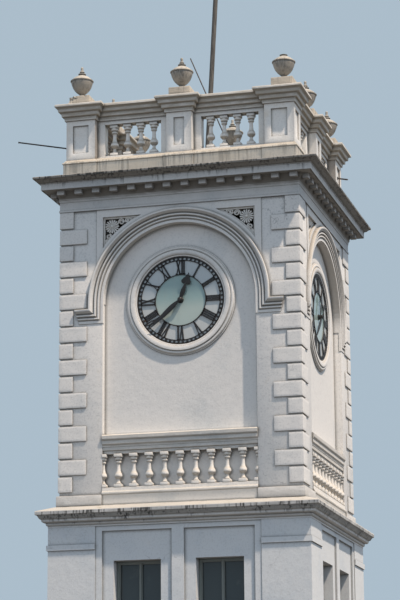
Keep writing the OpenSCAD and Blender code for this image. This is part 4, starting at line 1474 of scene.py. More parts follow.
@dataclass
class Dials:
    """The four dials: surround, skeleton iron, opal glass and the arbor of the hands."""

    glass: float = 2.182
    iron: float = 2.202
    cap: float = 2.2705
    rim: float = 0.841
    rim_w: float = 0.022
    minute_r: float = 0.765
    hour_r: float = 0.500
    ring_w: float = 0.016
    minute_bar: float = 0.036
    thick: float = 0.030
    thin: float = 0.015
    serif_w: float = 0.046
    serif_h: float = 0.012
    arbor_r: float = 0.018
    arbor_hole: float = 0.0235
    ease: float = 0.003
    numerals: str = "XII I II III IIII V VI VII VIII IX X XI"
    spans: tuple[tuple[str, float], ...] = (("I", 0.040), ("V", 0.100), ("X", 0.104))

    def ring(self, name: str, outline: Profile) -> Piece:
        """A closed outline (radius, distance from the tower's axis) turned about the dial's axis."""
        return turned(name, outline, DIAL_CENTRE, Spindle.DIAL, 96, closed=True)

    def surround(self) -> Piece:
        """The moulded ring of stucco round the glass."""
        wall, r = RECESS_FACE, self.rim
        lip = ((0.009, -0.02), (0.009, 0.034), (0.014, 0.038), (0.036, 0.039), (0.042, 0.046))
        return self.ring("surround", [
            *shifted(r, wall, *lip), *bow((r + 0.047, wall + 0.058), (r + 0.124, wall + 0.066), -0.06, 4),
            *shifted(r, wall, (0.130, 0.060), (0.136, 0.046), (0.142, 0.044)),
            *bow((r + 0.150, wall + 0.050), (r + 0.190, wall + 0.046), -0.10, 4),
            *shifted(r, wall, (0.197, 0.036), (0.200, 0.024), (0.219, 0.020), (0.219, -0.02)),
        ])

    def flat_ring(self, inner: float, outer: float) -> Piece:
        """A flat iron ring with eased edges.

        Args:
            inner: Its inner radius.
            outer: Its outer radius.
        """
        back, front, ease = self.glass, self.iron, self.ease
        return self.ring("ring", [
            (inner, back), (inner, front - ease), (inner + ease, front), (outer - ease, front),
            (outer, front - ease), (outer, back),
        ])

    def bar(self, feet: Pair, heads: Pair, low: float, high: float, angle: float) -> Piece:
        """A flat iron bar of the upright dial, turned to its hour."""
        corners = ((feet[0], low), (feet[1], low), (heads[1], high), (heads[0], high))
        points = [dial_point(x, y, angle, self.glass) for x, y in corners]
        return prism("bar", points, (0, self.glass - self.iron, 0))

    def slant(self, foot: float, head: float, width: float, angle: float) -> Piece:
        """A stroke of a numeral between the two rings."""
        feet, heads = ((place - width / 2, place + width / 2) for place in (foot, head))
        return self.bar(feet, heads, self.hour_r - 0.004, self.minute_r + 0.004, angle)

    def serif(self, middle: float, low: float, angle: float) -> Piece:
        """A short foot across the end of a stroke."""
        ends = (middle - self.serif_w / 2, middle + self.serif_w / 2)
        return self.bar(ends, ends, low, low + self.serif_h, angle)

    def numeral(self, text: str, angle: float) -> list[Piece]:
        """The strokes and serifs of one hour.

        Args:
            text: The hour in Roman numerals.
            angle: Its clockwise turn in degrees.

        Returns:
            The new pieces.
        """
        widths = dict(self.spans)
        x = -sum(widths[sign] for sign in text) / 2
        low, high = self.hour_r + 0.001, self.minute_r - 0.013
        parts = []
        for sign in text:
            middle, reach = x + widths[sign] / 2, widths[sign] / 2 - 0.018
            left, right = middle - reach, middle + reach
            strokes, ends = {
                "I": (((middle, middle, self.thick),), ((middle, low), (middle, high))),
                "V": (
                    ((middle, left, self.thick), (middle, right, self.thin)),
                    ((left, high), (right, high)),
                ),
                "X": (
                    ((right, left, self.thick), (left, right, self.thin)),
                    ((left, low), (left, high), (right, low), (right, high)),
                ),
            }[sign]
            parts += [self.slant(foot, head, width, angle) for foot, head, width in strokes]
            parts += [self.serif(place, end, angle) for place, end in ends]
            x += widths[sign]
        return parts

    def irons(self) -> Piece:
        """The skeleton dial: rings, minute bars and numerals."""
        spans = (
            (self.rim - self.rim_w, self.rim), (self.minute_r, self.minute_r + self.ring_w),
            (self.hour_r - self.ring_w, self.hour_r),
        )
        parts = [self.flat_ring(*span) for span in spans]
        sides = (-self.minute_bar / 2, self.minute_bar / 2)
        minute = self.bar(sides, sides, self.minute_r + 0.008, self.rim - 0.010, 3.0)
        parts.append(repeated(minute, 60, math.tau / 60, DIAL_CENTRE, (0, 1, 0)))
        for hour, text in enumerate(self.numerals.split()):
            parts += self.numeral(text, 30.0 * hour)
        return closed_up(joined("skeleton_dials", parts))

    def pane(self, name: str, inner: float, outer: float) -> Piece:
        """A disc of glass with a hole."""
        wall, glass = RECESS_FACE, self.glass
        return self.ring(name, [(inner, wall), (inner, glass), (outer, glass), (outer, wall)])

    def arbor(self) -> Piece:
        """The arbor with its flanges and its domed cap."""
        r, back, front, cap = self.arbor_r, RECESS_FACE, self.glass, self.cap
        outline = [
            (0, back - 0.014), (0.056, back - 0.014), (0.060, back - 0.010), (0.060, back),
            (r + 0.004, back), (r + 0.004, front), (0.060, front), (0.060, front + 0.006),
            (0.055, front + 0.010), (r, front + 0.010),
            *shifted(r, cap, (0.0, 0.0), (0.013, 0.0), (0.014, 0.004), (0.009, 0.009)),
            (0.012, cap + 0.0115), (0, cap + 0.012),
        ]
        return turned("arbors", outline, DIAL_CENTRE, Spindle.DIAL, 32)

    def make(self) -> None:
        """Models one dial, repeats it and dresses it."""
        surround = worn(on_all_sides(self.surround()), depth=0.004, grain=0.12, angle=40.0)
        dress(surround, RECESS, ["dial_surrounds"])
        middle = self.hour_r - self.ring_w / 2
        irons = worn(on_all_sides(self.irons()))
        dress(irons, DIAL_IRON, ["dial_irons"])
        ring = worn(on_all_sides(self.pane("opal_rings", middle, self.rim)))
        dress(ring, OPAL_RING, ["dial_glasses"])
        pane = worn(on_all_sides(self.pane("opal_centres", self.arbor_hole, middle)))
        dress(pane, OPAL_CENTRE, ["dial_glasses"])
        arbors = worn(on_all_sides(self.arbor()))
        dress(arbors, DIAL_IRON, ["dial_arbors"])


@dataclass
class Hands:
    """The minute and the hour hand of every dial."""

    bore: float = 0.0185
    minute_angle: float = 228.0
    minute_l: float = 0.800
    minute_w: float = 0.098
    minute_back: float = 2.250
    minute_boss: Pair = (0.042, 2.2455)
    hour_angle: float = 19.0
    hour_l: float = 0.540
    hour_w: float = 0.088
    hour_back: float = 2.220
    hour_boss: Pair = (0.050, 2.1925)
    boss_rise: float = 0.008
    thickness: float = 0.012
    foot: float = -0.020
    tail: tuple[Pair, ...] = ((0.0, -0.078), (0.019, -0.076), (0.014, -0.010))
    shoulder: tuple[Pair, ...] = (
        (0.083, 0.028), (0.062, 0.060), (0.042, 0.089), (0.024, 0.120), (0.011, 0.145),
    )

    def leaf(self, high: float, width: float, peak: float, steps: int = 16) -> Profile:
        """Right half of a leaf from the hand's foot.

        Args:
            high: Height of its tip.
            width: Its greatest width.
            peak: Share of its length at which it is widest.
            steps: Number of steps along it.

        Returns:
            Points (distance from the middle line, height).
        """
        points = []
        for i in range(steps + 1):
            t = i / steps
            rising = math.sin(math.pi / 2 * t / peak)
            bend = rising if t < peak else math.cos(math.pi / 2 * ((t - peak) / (1 - peak)) ** 0.9)
            points.append((width / 2 * bend, self.foot + (high - self.foot) * t))
        return points

    def minute_outline(self) -> Profile:
        """Right half of the minute hand: its short tail and its long leaf."""
        blade = [p for p in self.leaf(self.minute_l, self.minute_w, 0.32) if p[1] > 0.0]
        return [*self.tail, *blade[:-1], (0.0, self.minute_l)]

    def hour_outline(self) -> Profile:
        """Right half of the hour hand: shaft, round lobe, hollow shoulder and a small ball.

        Returns:
            Points (distance from the middle line, height).
        """
        lobe, ball = self.hour_l - 0.175, self.hour_l - 0.011
        shaft = self.leaf(lobe, self.hour_w, 0.45)
        points = [(max(x, 0.015), z) for x, z in shaft if z < lobe - 0.045]
        for i in range(13):
            angle = math.radians(238.0 + i * 11.3)
            points.append((0.044 + 0.050 * math.cos(angle), lobe + 0.050 * math.sin(angle)))
        points += [(x, lobe + z) for x, z in self.shoulder]
        for degrees in (-60, -30, 0, 30, 60):
            angle = math.radians(degrees)
            points.append((0.011 * math.cos(angle), ball + 0.011 * math.sin(angle)))
        return [*points, (0.0, self.hour_l)]

    def hand(self, name: str, half: Profile, angle: float, back: float, boss: Pair) -> Piece:
        """A hand of the front dial.

        Args:
            name: Name of the piece.
            half: Right half of the blade's outline, from its foot to its tip.
            angle: Clockwise angle from upright, in degrees.
            back: Distance of the blade's back from the tower's axis.
            boss: Radius of the boss round the arbor, and distance of its back from the tower's axis.
        """
        left = [(-x, y) for x, y in reversed(half) if x > 0.0]
        outline = [dial_point(x, y, angle, back) for x, y in [*half, *left]]
        blade = prism(name, outline, (0, -self.thickness, 0))
        bevelled(carved(blade, dial_disc("hole", self.bore, 2.1, 2.4, 32)), 0.003, 50)
        radius, rear = boss
        front = back + self.thickness + self.boss_rise
        section = [
            (self.bore, rear), (self.bore, front), (radius - 0.006, front), (radius, front - 0.005),
            (radius, rear),
        ]
        ring = turned("boss", section, DIAL_CENTRE, Spindle.DIAL, 32, closed=True)
        return worn(joined(name, [blade, ring]), angle=30.0)

    def make(self) -> None:
        """Models the hands of each dial and dresses them on their own bodies."""
        models = (
            ("minute", self.minute_outline(), self.minute_angle, self.minute_back, self.minute_boss),
            ("hour", self.hour_outline(), self.hour_angle, self.hour_back, self.hour_boss),
        )
        for side in Side:
            for stem, *sizes in models:
                hand = placed(self.hand(side.named(f"{stem}_blade"), *sizes), turn=side.turn)
                node = side.named(f"{stem}_hand")
                dress(hand, HAND_PAINT, [node], node)


@dataclass
class Parapet:
    """The parapet: base course, pedestals with sunk panels, and balustraded bays."""

    base_z: float = 13.883
    inner: float = 1.902
    set_back: float = 0.020
    corner: float = 1.970
    corner_w: float = 0.580
    corner_panel: float = 0.315
    middle_w: float = 0.500
    middle_panel: float = 0.210
    proud: float = 0.062
    shaft_top: float = 14.674
    block_half: float = 0.235
    panel_low: float = 14.020
    panel_high: float = 14.570
    panel_depth: float = 0.032
    bay_start: float = 0.250
    bay_end: float = 1.680
    bay_line: float = 1.990
    bay_half: float = 0.100
    open_z: float = 13.965
    open_h: float = 0.635
    open_half: float = 0.565
    pitch: float = 0.265
    row_count: int = 4
    baluster: Baluster = Baluster(0.635, 0.080)

    def coping(self) -> Profile:
        """Outline of a coping with its three bands.

        Returns:
            Points (projection from the shaft, height).
        """
        z = self.shaft_top
        return [
            *shifted(
                0.0, z, (0.0, 0.0), (0.028, 0.002), (0.030, 0.012), (0.034, 0.072), (0.040, 0.078),
                (0.074, 0.080), (0.078, 0.088),
            ),
            *bow((0.082, z + 0.150), (0.096, z + 0.162), 0.2, 3),
            *shifted(0.0, z, (0.126, 0.164), (0.131, 0.172)),
            *bow((0.137, z + 0.222), (0.172, z + 0.250), -0.20, 5),
            *shifted(
                0.0, z, (0.174, 0.256), (0.188, 0.258), (0.188, 0.298), (0.182, 0.306), (0.172, 0.311),
            ),
        ]

    def moulded_edge(self, face: float, low: float, high: float) -> Profile:
        """Outer edge of the course and of the plinths, from the foot up to the cap.

        Args:
            face: How far the cap stands out.
            low: Height of the foot.
            high: Height of the top.

        Returns:
            Points (distance, height).
        """
        return [
            (face - 0.016, low), (face - 0.016, high - 0.092), (face, high - 0.088), (face, high - 0.062),
            *bow((face - 0.006, high - 0.054), (face - 0.032, high - 0.030), -0.2, 4),
            (face - 0.040, high - 0.022),
        ]

    def course(self) -> Piece:
        """The base course, set back between the plinths under the pedestals."""
        face, low, high = PARAPET_FACE - self.set_back, PARAPET_FOOT, self.base_z
        ring = [
            (self.inner, low), *self.moulded_edge(face, low, high), (face - 0.052, high - 0.004),
            (face - 0.060, high), (self.inner, high),
        ]
        parts = [turned("course", ring, (0, 0, 0), Spindle.SQUARE, closed=True)]
        places = ((self.corner, self.corner, self.corner_w), (0.0, MIDDLE_PEDESTAL, self.middle_w))
        for x, y, width in places:
            half, tall = width / 2 + self.proud, high - low
            edge = self.moulded_edge(half, 0, tall)
            plinth = [(0, 0), *edge, (half - 0.054, tall - 0.002), (0, tall)]
            parts.append(on_all_sides(turned("plinth", plinth, (x, -y, low), Spindle.SQUARE)))
        return refined(refined(joined("parapet_course", parts), 3.0, 40), 0.5, 6)

    def pedestal(self, x: float, y: float, width: float, panel: float, ways: Sequence[float]) -> Piece:
        """A pedestal with its coping and its sunk panels.

        Args:
            x: Place of its middle.
            y: Distance of its middle from the tower's axis towards the front.
            width: Width of its shaft.
            panel: Width of each sunk panel.
            ways: Turns of the faces that have a panel, in radians.
        """
        half, foot = width / 2, self.base_z - 0.010
        outline = [(0.0, foot), (half, foot), *((half + out, z) for out, z in self.coping())]
        outline += [(self.block_half, PARAPET_TOP), (0.0, PARAPET_TOP)]
        pedestal = turned("pedestal", outline, (x, -y, 0), Spindle.SQUARE)
        for way in ways:
            low = (-panel / 2, -half - 0.1, self.panel_low)
            sunk = block("sunk", low, (panel / 2, self.panel_depth - half, self.panel_high))
            carved(pedestal, placed(placed(sunk, turn=way), (x, -y, 0)))
        return pedestal

    def pedestals(self) -> Piece:
        """The eight pedestals."""
        corner = self.pedestal(
            self.corner, self.corner, self.corner_w, self.corner_panel, (0.0, math.pi / 2)
        )
        middle = self.pedestal(0.0, MIDDLE_PEDESTAL, self.middle_w, self.middle_panel, (0.0, math.pi))
        return worn(on_all_sides(joined("parapet_piers", [corner, middle])), edge=0.007, angle=38.0)

    def bays(self) -> Piece:
        """The eight bays: curb, end strips, balusters and coping."""
        start, end, line, half = self.bay_start, self.bay_end, self.bay_line, self.bay_half
        centre, top = (start + end) / 2, self.open_z + self.open_h
        low = (start, -line - half, self.base_z - 0.01)
        parts = [block("curb", low, (end, half - line, self.open_z), 0.008)]
        for low, high in ((start, centre - self.open_half), (centre + self.open_half, end)):
            near = (low, -line - half, self.open_z - 0.02)
            parts.append(block("strip", near, (high, half - line, top + 0.02), 0.006))
        outline = [(line + half, top), *((line + half + out, z) for out, z in self.coping())]
        outline += [(line, PARAPET_TOP - 0.020)]
        outline += [(2 * line - out, z) for out, z in reversed(outline[:-1])]
        cap = prism("cap", [(start, -out, z) for out, z in outline], (end - start, 0, 0))
        parts.append(refined(cap, 1.0, 10))
        first = self.baluster.make((centre - (self.row_count - 1) / 2 * self.pitch, -line, self.open_z))
        parts.append(in_a_row(first, self.row_count, self.pitch))
        return on_all_sides(mirrored(joined("parapet_balustrades", parts)))

    def make(self) -> None:
        """Models the parapet and dresses it."""
        course = worn(self.course(), edge=0.008, depth=0.008)
        dress(course, BASE_COURSE, all_sides("parapet_base"))
        pedestals = worn(self.pedestals(), depth=0.005, grain=0.14, angle=38.0)
        dress(pedestals, PARAPET, ["parapet_pedestals"])
        bays = worn(closed_up(self.bays()), depth=0.005, grain=0.12, angle=40.0)
        dress(bays, PARAPET, ["parapet_bays"])


@dataclass
class Urns:
    """The eight urns on their blocks. The front right corner's has lost its finial."""

    corner: float = 2.025
    block_w: float = 0.425
    block_h: float = 0.160
    radius: float = 0.228
    height: float = 0.650
    broken_h: float = 0.512
    bites: tuple[tuple[float, float, float, float], ...] = (
        (0.01, -0.02, -0.045, 0.105), (0.13, -0.03, -0.020, 0.070), (0.33, -0.03, 0.015, 0.055),
    )
    outline: tuple[Pair, ...] = (
        (0, 0), (0.45, 0), (0.46, 0.016), (0.44, 0.030), (0.34, 0.040), (0.27, 0.056), (0.21, 0.085),
        (0.20, 0.105), (0.24, 0.124), (0.33, 0.150), (0.44, 0.182), (0.55, 0.220), (0.65, 0.262),
        (0.74, 0.312), (0.81, 0.364), (0.87, 0.420), (0.905, 0.462), (0.93, 0.505), (0.92, 0.512),
        (0.92, 0.520), (0.985, 0.526), (1.0, 0.540), (0.985, 0.556), (0.92, 0.566), (0.90, 0.574),
        (0.83, 0.600), (0.70, 0.640), (0.57, 0.670), (0.45, 0.692), (0.34, 0.708), (0.28, 0.722),
        (0.27, 0.738), (0.31, 0.748), (0.34, 0.762), (0.335, 0.778), (0.28, 0.788), (0.19, 0.796),
        (0.15, 0.806), (0.155, 0.818), (0.20, 0.826), (0.215, 0.838), (0.20, 0.850), (0.15, 0.858),
        (0.12, 0.870), (0.115, 0.920), (0.12, 0.970), (0.09, 0.990), (0.03, 1.0), (0, 1.0),
    )

    def urn(self, x: float, y: float) -> Piece:
        """An urn on its block.

        Args:
            x: Place of its middle.
            y: Place of its middle.
        """
        half, z = self.block_w / 2, PARAPET_TOP + self.block_h
        base = block("base", (x - half, y - half, PARAPET_TOP - 0.004), (x + half, y + half, z))
        bevelled(divided(base, 4), 0.012, 40)
        points = [(r * self.radius, h * self.height) for r, h in self.outline]
        return joined("urn", [base, turned("bowl", points, (x, y, z), steps=28)])

    def chipped(self, urn: Piece) -> Piece:
        """Breaks the front left block away at its outer half, down to the bricks.

        Args:
            urn: The urn on its whole block.
        """
        edge, top = -self.corner - self.block_w / 2, PARAPET_TOP + self.block_h
        for across, along, rise, radius in self.bites:
            select_only()
            place = (edge + across, edge + along, top + rise)
            bpy.ops.mesh.primitive_ico_sphere_add(subdivisions=4, radius=radius, location=place)
            carved(urn, worn(settled("chip"), depth=0.07, grain=0.05))
        return urn

    def snapped(self, urn: Piece) -> Piece:
        """Breaks off the finial of the front right urn along an uneven face.

        Args:
            urn: The whole urn.
        """
        x, y = self.corner, -self.corner
        top = PARAPET_TOP + self.block_h + self.broken_h
        tool = block("tool", (x - 0.2, y - 0.2, top - 0.012), (x + 0.2, y + 0.2, top + 0.4))
        return carved(urn, worn(divided(tool, 14), depth=0.03, grain=0.045))

    def make(self) -> None:
        """Models the eight urns and dresses them."""
        far = self.corner
        urns = [
            self.chipped(self.urn(-far, -far)), self.snapped(self.urn(far, -far)), self.urn(far, far),
            self.urn(-far, far),
        ]
        urns += [placed(self.urn(0.0, -MIDDLE_PEDESTAL), turn=side.turn) for side in Side]
        whole = worn(joined("stucco_urns", urns), depth=0.006, grain=0.09, angle=42.0)
        dress(whole, URN, ["urns"])


@dataclass
class Poles:
    """The leaning flagpole, the thin rod across it, the rod on the left and the stub on the right.

    Outlines hold shares of the bar's radius, and heights in metres.
    """

    azimuth: float = 13.6
    roof_z: float = 13.450
    lateral: float = -0.083
    lean: float = 3.3
    radius: float = 0.052
    top_z: float = 18.100
    foot_rise: float = 0.04
    taper: float = 0.10
    waver: Pair = (0.012, 9.0)
    pole_steps: int = 24
    truck: tuple[Pair, ...] = (
        (0.88, -0.066), (1.42, -0.060), (1.50, -0.045), (1.50, -0.018), (1.30, -0.006), (0.7, 0.0),
        (0.0, 0.0),
    )
    socket_outline: tuple[Pair, ...] = (
        (1.02, 0.0), (1.80, 0.0), (1.80, 0.020), (1.42, 0.032), (1.34, 0.160), (1.50, 0.170),
        (1.50, 0.196), (1.40, 0.200), (1.12, 0.200),
    )
    stay_r: float = 0.012
    stay_lean: float = -22.3
    crossing_z: float = 15.556
    stay_top: float = 16.520
    bracket: Point = (-2.228, -1.970, 14.2015)
    bracket_r: float = 0.014
    bracket_l: float = 1.148
    bracket_slope: float = 12.0
    stub: Point = (2.229, 1.970, 14.3615)
    stub_r: float = 0.0165
    stub_l: float = 0.236
    stub_droop: float = 12.0

    def leaned(self, piece: Piece, lateral: float, ahead: float, height: float, lean: float) -> Piece:
        """Leans an upright piece in the pole's plane and sets its foot."""
        turn = math.radians(self.azimuth)
        foot = Matrix.Rotation(turn, 3, "Z") @ Vector((lateral, -ahead, 0))
        return placed(piece, (foot.x, foot.y, height), math.radians(lean), turn)

    def pole(self) -> Piece:
        """The timber pole with its truck."""
        r, steps = self.radius, self.pole_steps
        length = (self.top_z - self.roof_z - self.foot_rise) / math.cos(math.radians(self.lean))
        points = [(0.0, 0.0)]
        for t in (i / steps for i in range(steps + 1)):
            girth = 1.0 - self.taper * t + self.waver[0] * math.sin(self.waver[1] * t)
            points.append((r * girth, (length - 0.07) * t))
        points += [(r * share, length + rise) for share, rise in self.truck]
        pole = worn(turned("pole_shaft", points, (0, 0, 0), steps=20), depth=0.004, grain=0.2)
        return self.leaned(pole, self.lateral, 0.0, self.roof_z + self.foot_rise, self.lean)

    def socket(self) -> Piece:
        """The iron socket on the roof."""
        points = [(self.radius * share, z) for share, z in self.socket_outline]
        foot = (self.lateral, 0, self.roof_z)
        socket = turned("pole_socket", points, foot, steps=28, closed=True)
        return placed(socket, turn=math.radians(self.azimuth))

    def stay(self) -> Piece:
        """The thin rod that leans on the pole."""
        slope, r = math.radians(self.stay_lean), self.stay_r
        foot_l = (self.crossing_z - self.roof_z) / math.cos(slope)
        length = foot_l + (self.stay_top - self.crossing_z) / math.cos(slope)
        points = [
            (0, 0.008), (r, 0.008), (r, length - 0.020), (r * 0.6, length - 0.008), (0, length - 0.006),
        ]
        rod = turned("stay", points, (0, 0, 0), steps=12)
        rise = self.crossing_z - self.roof_z - self.foot_rise
        cross = self.lateral + rise * math.tan(math.radians(self.lean))
        foot = cross - math.sin(slope) * foot_l
        return self.leaned(rod, foot, self.radius + r, self.roof_z, self.stay_lean)

    def left_rod(self) -> Piece:
        """The rod that rises outwards from the front left pedestal, with its flange."""
        r, length = self.bracket_r, self.bracket_l
        points = [
            (0, 0.0), (r * 2.6, 0.0), (r * 2.6, 0.024), (r * 1.5, 0.030), (r, 0.034), (r, length - 0.02),
            (r * 1.25, length - 0.016), (r * 1.25, length - 0.003), (0, length),
        ]
        rod = turned("left_rod", points, (0, 0, 0), steps=14)
        return placed(rod, self.bracket, math.radians(self.bracket_slope - 90))

    def right_stub(self) -> Piece:
        """The stub of a rusted off rod on the back right pedestal, with its flange."""
        r, length = self.stub_r, self.stub_l
        points = [
            (0, 0.004), (r * 2.1, 0.004), (r * 2.1, 0.014), (r * 1.2, 0.020), (r, 0.026),
            (r, length - 0.030), (r * 0.86, length - 0.012), (r * 0.5, length), (0, length - 0.002),
        ]
        stub = turned("right_stub", points, (0, 0, 0), steps=14)
        return placed(stub, self.stub, math.radians(90 + self.stub_droop))

    def make(self) -> None:
        """Models the pole and the rods and dresses them."""
        dress(self.pole(), POLE_TIMBER, ["flagpole"])
        dress(worn(self.socket()), ROD_IRON, ["flagpole"])
        rods = joined("thin_rods", [self.stay(), self.left_rod(), self.right_stub()])
        dress(worn(rods), ROD_IRON, ["iron_rods"])


@dataclass
class Door:
    """The closed double door with its frame, panelled leaves, hinges and ring handle."""

    half: float = 0.750
    foot_z: float = 0.180
    height: float = 2.450
    frame_w: float = 0.080
    frame_back: float = 2.152
    frame_front: float = 2.272
    bead: float = 0.014
    leaf_back: float = 2.182
    leaf_front: float = 2.242
    gap: float = 0.002
    stile: float = 0.100
    margin: float = 0.012
    rails: tuple[Pair, ...] = ((0.160, 0.800), (0.930, 1.560), (1.680, 2.250))
    hinges: tuple[float, ...] = (0.45, 1.24, 2.00)
    lock_z: float = 1.02
    pull_x: float = 0.056

    def frame(self) -> Piece:
        """The frame with a bead round its inner edge."""
        half, top = self.half, self.foot_z + self.height
        frame = block("frame", (-half, -self.frame_front, self.foot_z), (half, -self.frame_back, top))
        for grow, back in ((0.0, -2.0), (self.bead, self.bead - self.frame_front)):
            inner = half - self.frame_w + grow
            low = (-inner, -3.0, self.foot_z - 0.1)
            carved(frame, block("opening", low, (inner, back, top - self.frame_w + grow)))
        return worn(frame, edge=0.004)

    def leaf(self) -> Piece:
        """The right leaf with three raised panels."""
        low, high, front, margin = self.gap, self.half - self.frame_w, self.leaf_front, self.margin
        top = self.foot_z + self.height - self.frame_w
        leaf = block("leaf", (low, -front, self.foot_z + 0.004), (high, -self.leaf_back, top))
        left, right = low + self.stile, high - self.stile
        for start, end in self.rails:
            bottom, head = self.foot_z + start, self.foot_z + end
            carved(leaf, block("sunk", (left, -3.0, bottom), (right, 0.018 - front, head)))
            near = (left + margin, -front + 0.006, bottom + margin)
            panel = block("panel", near, (right - margin, 0.030 - front, head - margin))
            with editing(panel, "FACE", lambda face: face.normal.y < -0.9):
                bpy.ops.mesh.inset(thickness=0.035, depth=0.008)
            carved(leaf, panel, "UNION")
        return worn(leaf, edge=0.003)

    def fittings(self) -> Piece:
        """Strap hinges, a lock plate and a ring handle of the right leaf."""
        face, edge, x = self.leaf_front, self.half - self.frame_w, self.pull_x
        pin = [(0, -0.045), (0.011, -0.045), (0.011, 0.045), (0, 0.045)]
        parts = []
        for z in (self.foot_z + height for height in self.hinges):
            near = (edge - 0.26, -face - 0.006, z - 0.022)
            parts.append(block("strap", near, (edge - 0.005, 0.002 - face, z + 0.022), 0.003))
            parts.append(turned("knuckle", pin, (edge - 0.003, -face - 0.004, z), steps=14))
        z = self.foot_z + self.lock_z
        near = (0.026, -face - 0.005, z - 0.075)
        parts.append(block("lock", near, (0.086, 0.002 - face, z + 0.075), 0.004))
        select_only()
        bpy.ops.mesh.primitive_torus_add(
            location=(x, -face - 0.020, z - 0.020), rotation=(math.pi / 2, 0, 0), major_radius=0.034,
            minor_radius=0.006, major_segments=28, minor_segments=10,
        )
        parts.append(settled("pull"))
        knob = [
            (0, face), (0.013, face), (0.013, face + 0.016), (0.018, face + 0.022), (0.012, face + 0.030),
            (0, face + 0.031),
        ]
        parts.append(turned("knob", knob, (x, 0, z + 0.018), Spindle.DIAL, 18))
        return joined("door_fittings", parts)

    def make(self) -> None:
        """Models the door and dresses its wood and its iron."""
        wood = joined("panelled_door", [self.frame(), mirrored(self.leaf())])
        dress(worn(wood), DOOR_PAINT, ["entrance_door"])
        dress(worn(mirrored(self.fittings())), ROD_IRON, ["entrance_door"])


@dataclass
class Windows:
    """The eight timber window frames with their rebated sashes."""

    place: float = 0.780
    half: float = 0.450
    sill_z: float = 4.250
    height: float = 1.850
    bar: float = 0.060
    back: float = 2.152
    front: float = 2.222
    rebate: float = 0.022
    rebate_w: float = 0.016

    def window(self) -> Piece:
        """A frame on the front, at x = 0."""
        half, bar, sill = self.half, self.bar, self.sill_z
        frame = block("window", (-half, -self.front, sill), (half, -self.back, sill + self.height))
        wide, tall = (2 * half - 3 * bar) / 2, (self.height - 3 * bar) / 2
        for depth, grow in ((3.0, 0.0), (self.rebate, self.rebate_w)):
            for i in range(2):
                for j in range(2):
                    left = -half + bar + i * (wide + bar) - grow
                    foot = sill + bar + j * (tall + bar) - grow
                    high = (left + wide + 2 * grow, depth - self.front, foot + tall + 2 * grow)
                    carved(frame, block("light", (left, -3.0, foot), high))
        return worn(frame, edge=0.003)

    def make(self) -> None:
        """Models one frame, copies it to every window and dresses it."""
        first = self.window()
        twins = [copied(first, "window", (way * self.place, 0, 0)) for way in (-1, 1)]
        bpy.data.objects.remove(first)
        frames = on_all_sides(joined("sash_frames", twins))
        dress(worn(frames), WINDOW_PAINT, ["window_frames"])


@dataclass
class Camera:
    """The eye of the photograph, standing before the front right corner."""

    place: Point = (10.567, -40.477, 1.600)
    yaw: float = 0.270
    pitch: float = 13.287
    roll: float = -0.412
    lens: float = 130.16
    sensor: float = 36.0
    sight: float = 500.0

    def make(self) -> None:
        """Places the camera by its yaw from the tower's axis, its pitch and its roll."""
        place = Vector(self.place)
        yaw, pitch, roll = (math.radians(a) for a in (self.yaw, self.pitch, self.roll))
        level = Matrix.Rotation(yaw, 3, "Z") @ Vector((-place.x, -place.y, 0)).normalized()
        side = Vector((level.y, -level.x, 0))
        ahead = level * math.cos(pitch) + Vector((0, 0, math.sin(pitch)))
        rise = Vector((0, 0, math.cos(pitch))) - level * math.sin(pitch)
        right = side * math.cos(roll) + rise * math.sin(roll)
        up = rise * math.cos(roll) - side * math.sin(roll)
        data = bpy.data.cameras.new("camera")
        data.lens = self.lens
        data.sensor_width = self.sensor
        data.clip_end = self.sight
        camera = bpy.data.objects.new("camera", data)
        bpy.context.scene.collection.objects.link(camera)
        turn = Matrix((right, up, -ahead)).transposed().to_4x4()
        camera.matrix_world = Matrix.Translation(place) @ turn
        bpy.context.scene.camera = camera


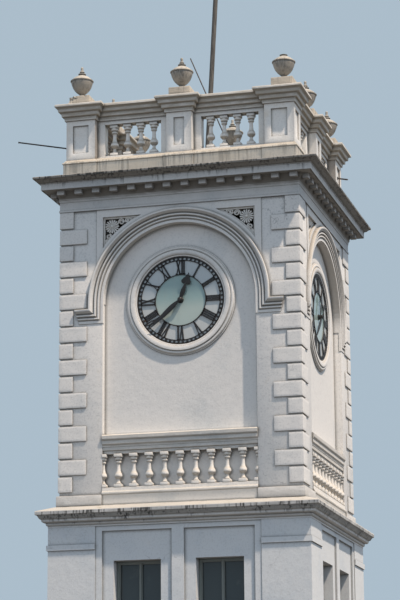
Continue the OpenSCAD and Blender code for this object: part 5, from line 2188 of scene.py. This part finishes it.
@dataclass
class Studio:
    """The pale floor and background and the soft light from the upper right."""

    sun_way: Point = (2.0, -1.0, 3.87)
    sun_power: float = 4.08
    sun_colour: Colour = (1.0, 0.84, 0.69)
    sun_spread: float = 1.6
    fill: Colour = (0.44, 0.53, 0.64)
    backdrop: Colour = (0.41, 0.51, 0.595)
    floor: Colour = (0.36, 0.385, 0.40)
    floor_bounce: Colour = (0.14, 0.14, 0.14)
    floor_size: float = 400.0

    def make(self) -> None:
        """Lights the tower and lays the floor."""
        scene = bpy.context.scene
        scene.view_settings.view_transform = "Standard"
        data = bpy.data.lights.new("sun", "SUN")
        data.energy = self.sun_power
        data.color = self.sun_colour
        data.angle = math.radians(self.sun_spread)
        sun = bpy.data.objects.new("sun", data)
        scene.collection.objects.link(sun)
        sun.rotation_euler = Vector(self.sun_way).to_track_quat("Z", "Y").to_euler()
        self.sky(scene)
        select_only()
        bpy.ops.mesh.primitive_plane_add(size=self.floor_size, location=(0, 0, 0))
        floor = settled("floor")
        floor.data.materials.append(self.floor_material())

    def sky(self, scene: bpy.types.Scene) -> None:
        """A plain world: fill light for surfaces, backdrop for the eye, mirrors and glass.

        Args:
            scene: The scene that it surrounds.
        """
        world = bpy.data.worlds.new("studio")
        world.use_nodes = True
        scene.world = world
        g = Graph(world.node_tree)
        rays = g.add("LightPath").outputs
        seen = g.math("MAXIMUM", rays["Is Camera Ray"], rays["Is Glossy Ray"])
        seen = g.math("MAXIMUM", seen, rays["Is Transmission Ray"])
        light = g.add("Background", {"Color": g.blend(seen, self.fill, self.backdrop), "Strength": 1.0})
        g.add("OutputWorld", {"Surface": light.outputs[0]})

    def floor_material(self) -> bpy.types.Material:
        """A plain pale matt floor."""
        material = bpy.data.materials.new("floor")
        material.use_nodes = True
        g = Graph(material.node_tree)
        seen = g.add("LightPath").outputs["Is Camera Ray"]
        colour = g.blend(seen, self.floor_bounce, self.floor)
        shader = g.add("BsdfPrincipled", {"Base Color": colour, "Roughness": 0.9})
        g.add("OutputMaterial", {"Surface": shader.outputs[0]})
        return material


def main() -> None:
    """Builds the sub-assemblies in order."""
    logging.basicConfig(level=logging.INFO, format="%(message)s")
    parts = (
        Camera(), Studio(), Shell(), Cornices(), Piers(), ArchHeads(), RecessBalustrades(), Grilles(),
        Dials(), Hands(), Parapet(), Urns(), Poles(), Door(), Windows(),
    )
    for part in parts:
        part.make()


if __name__ == "__main__":
    main()
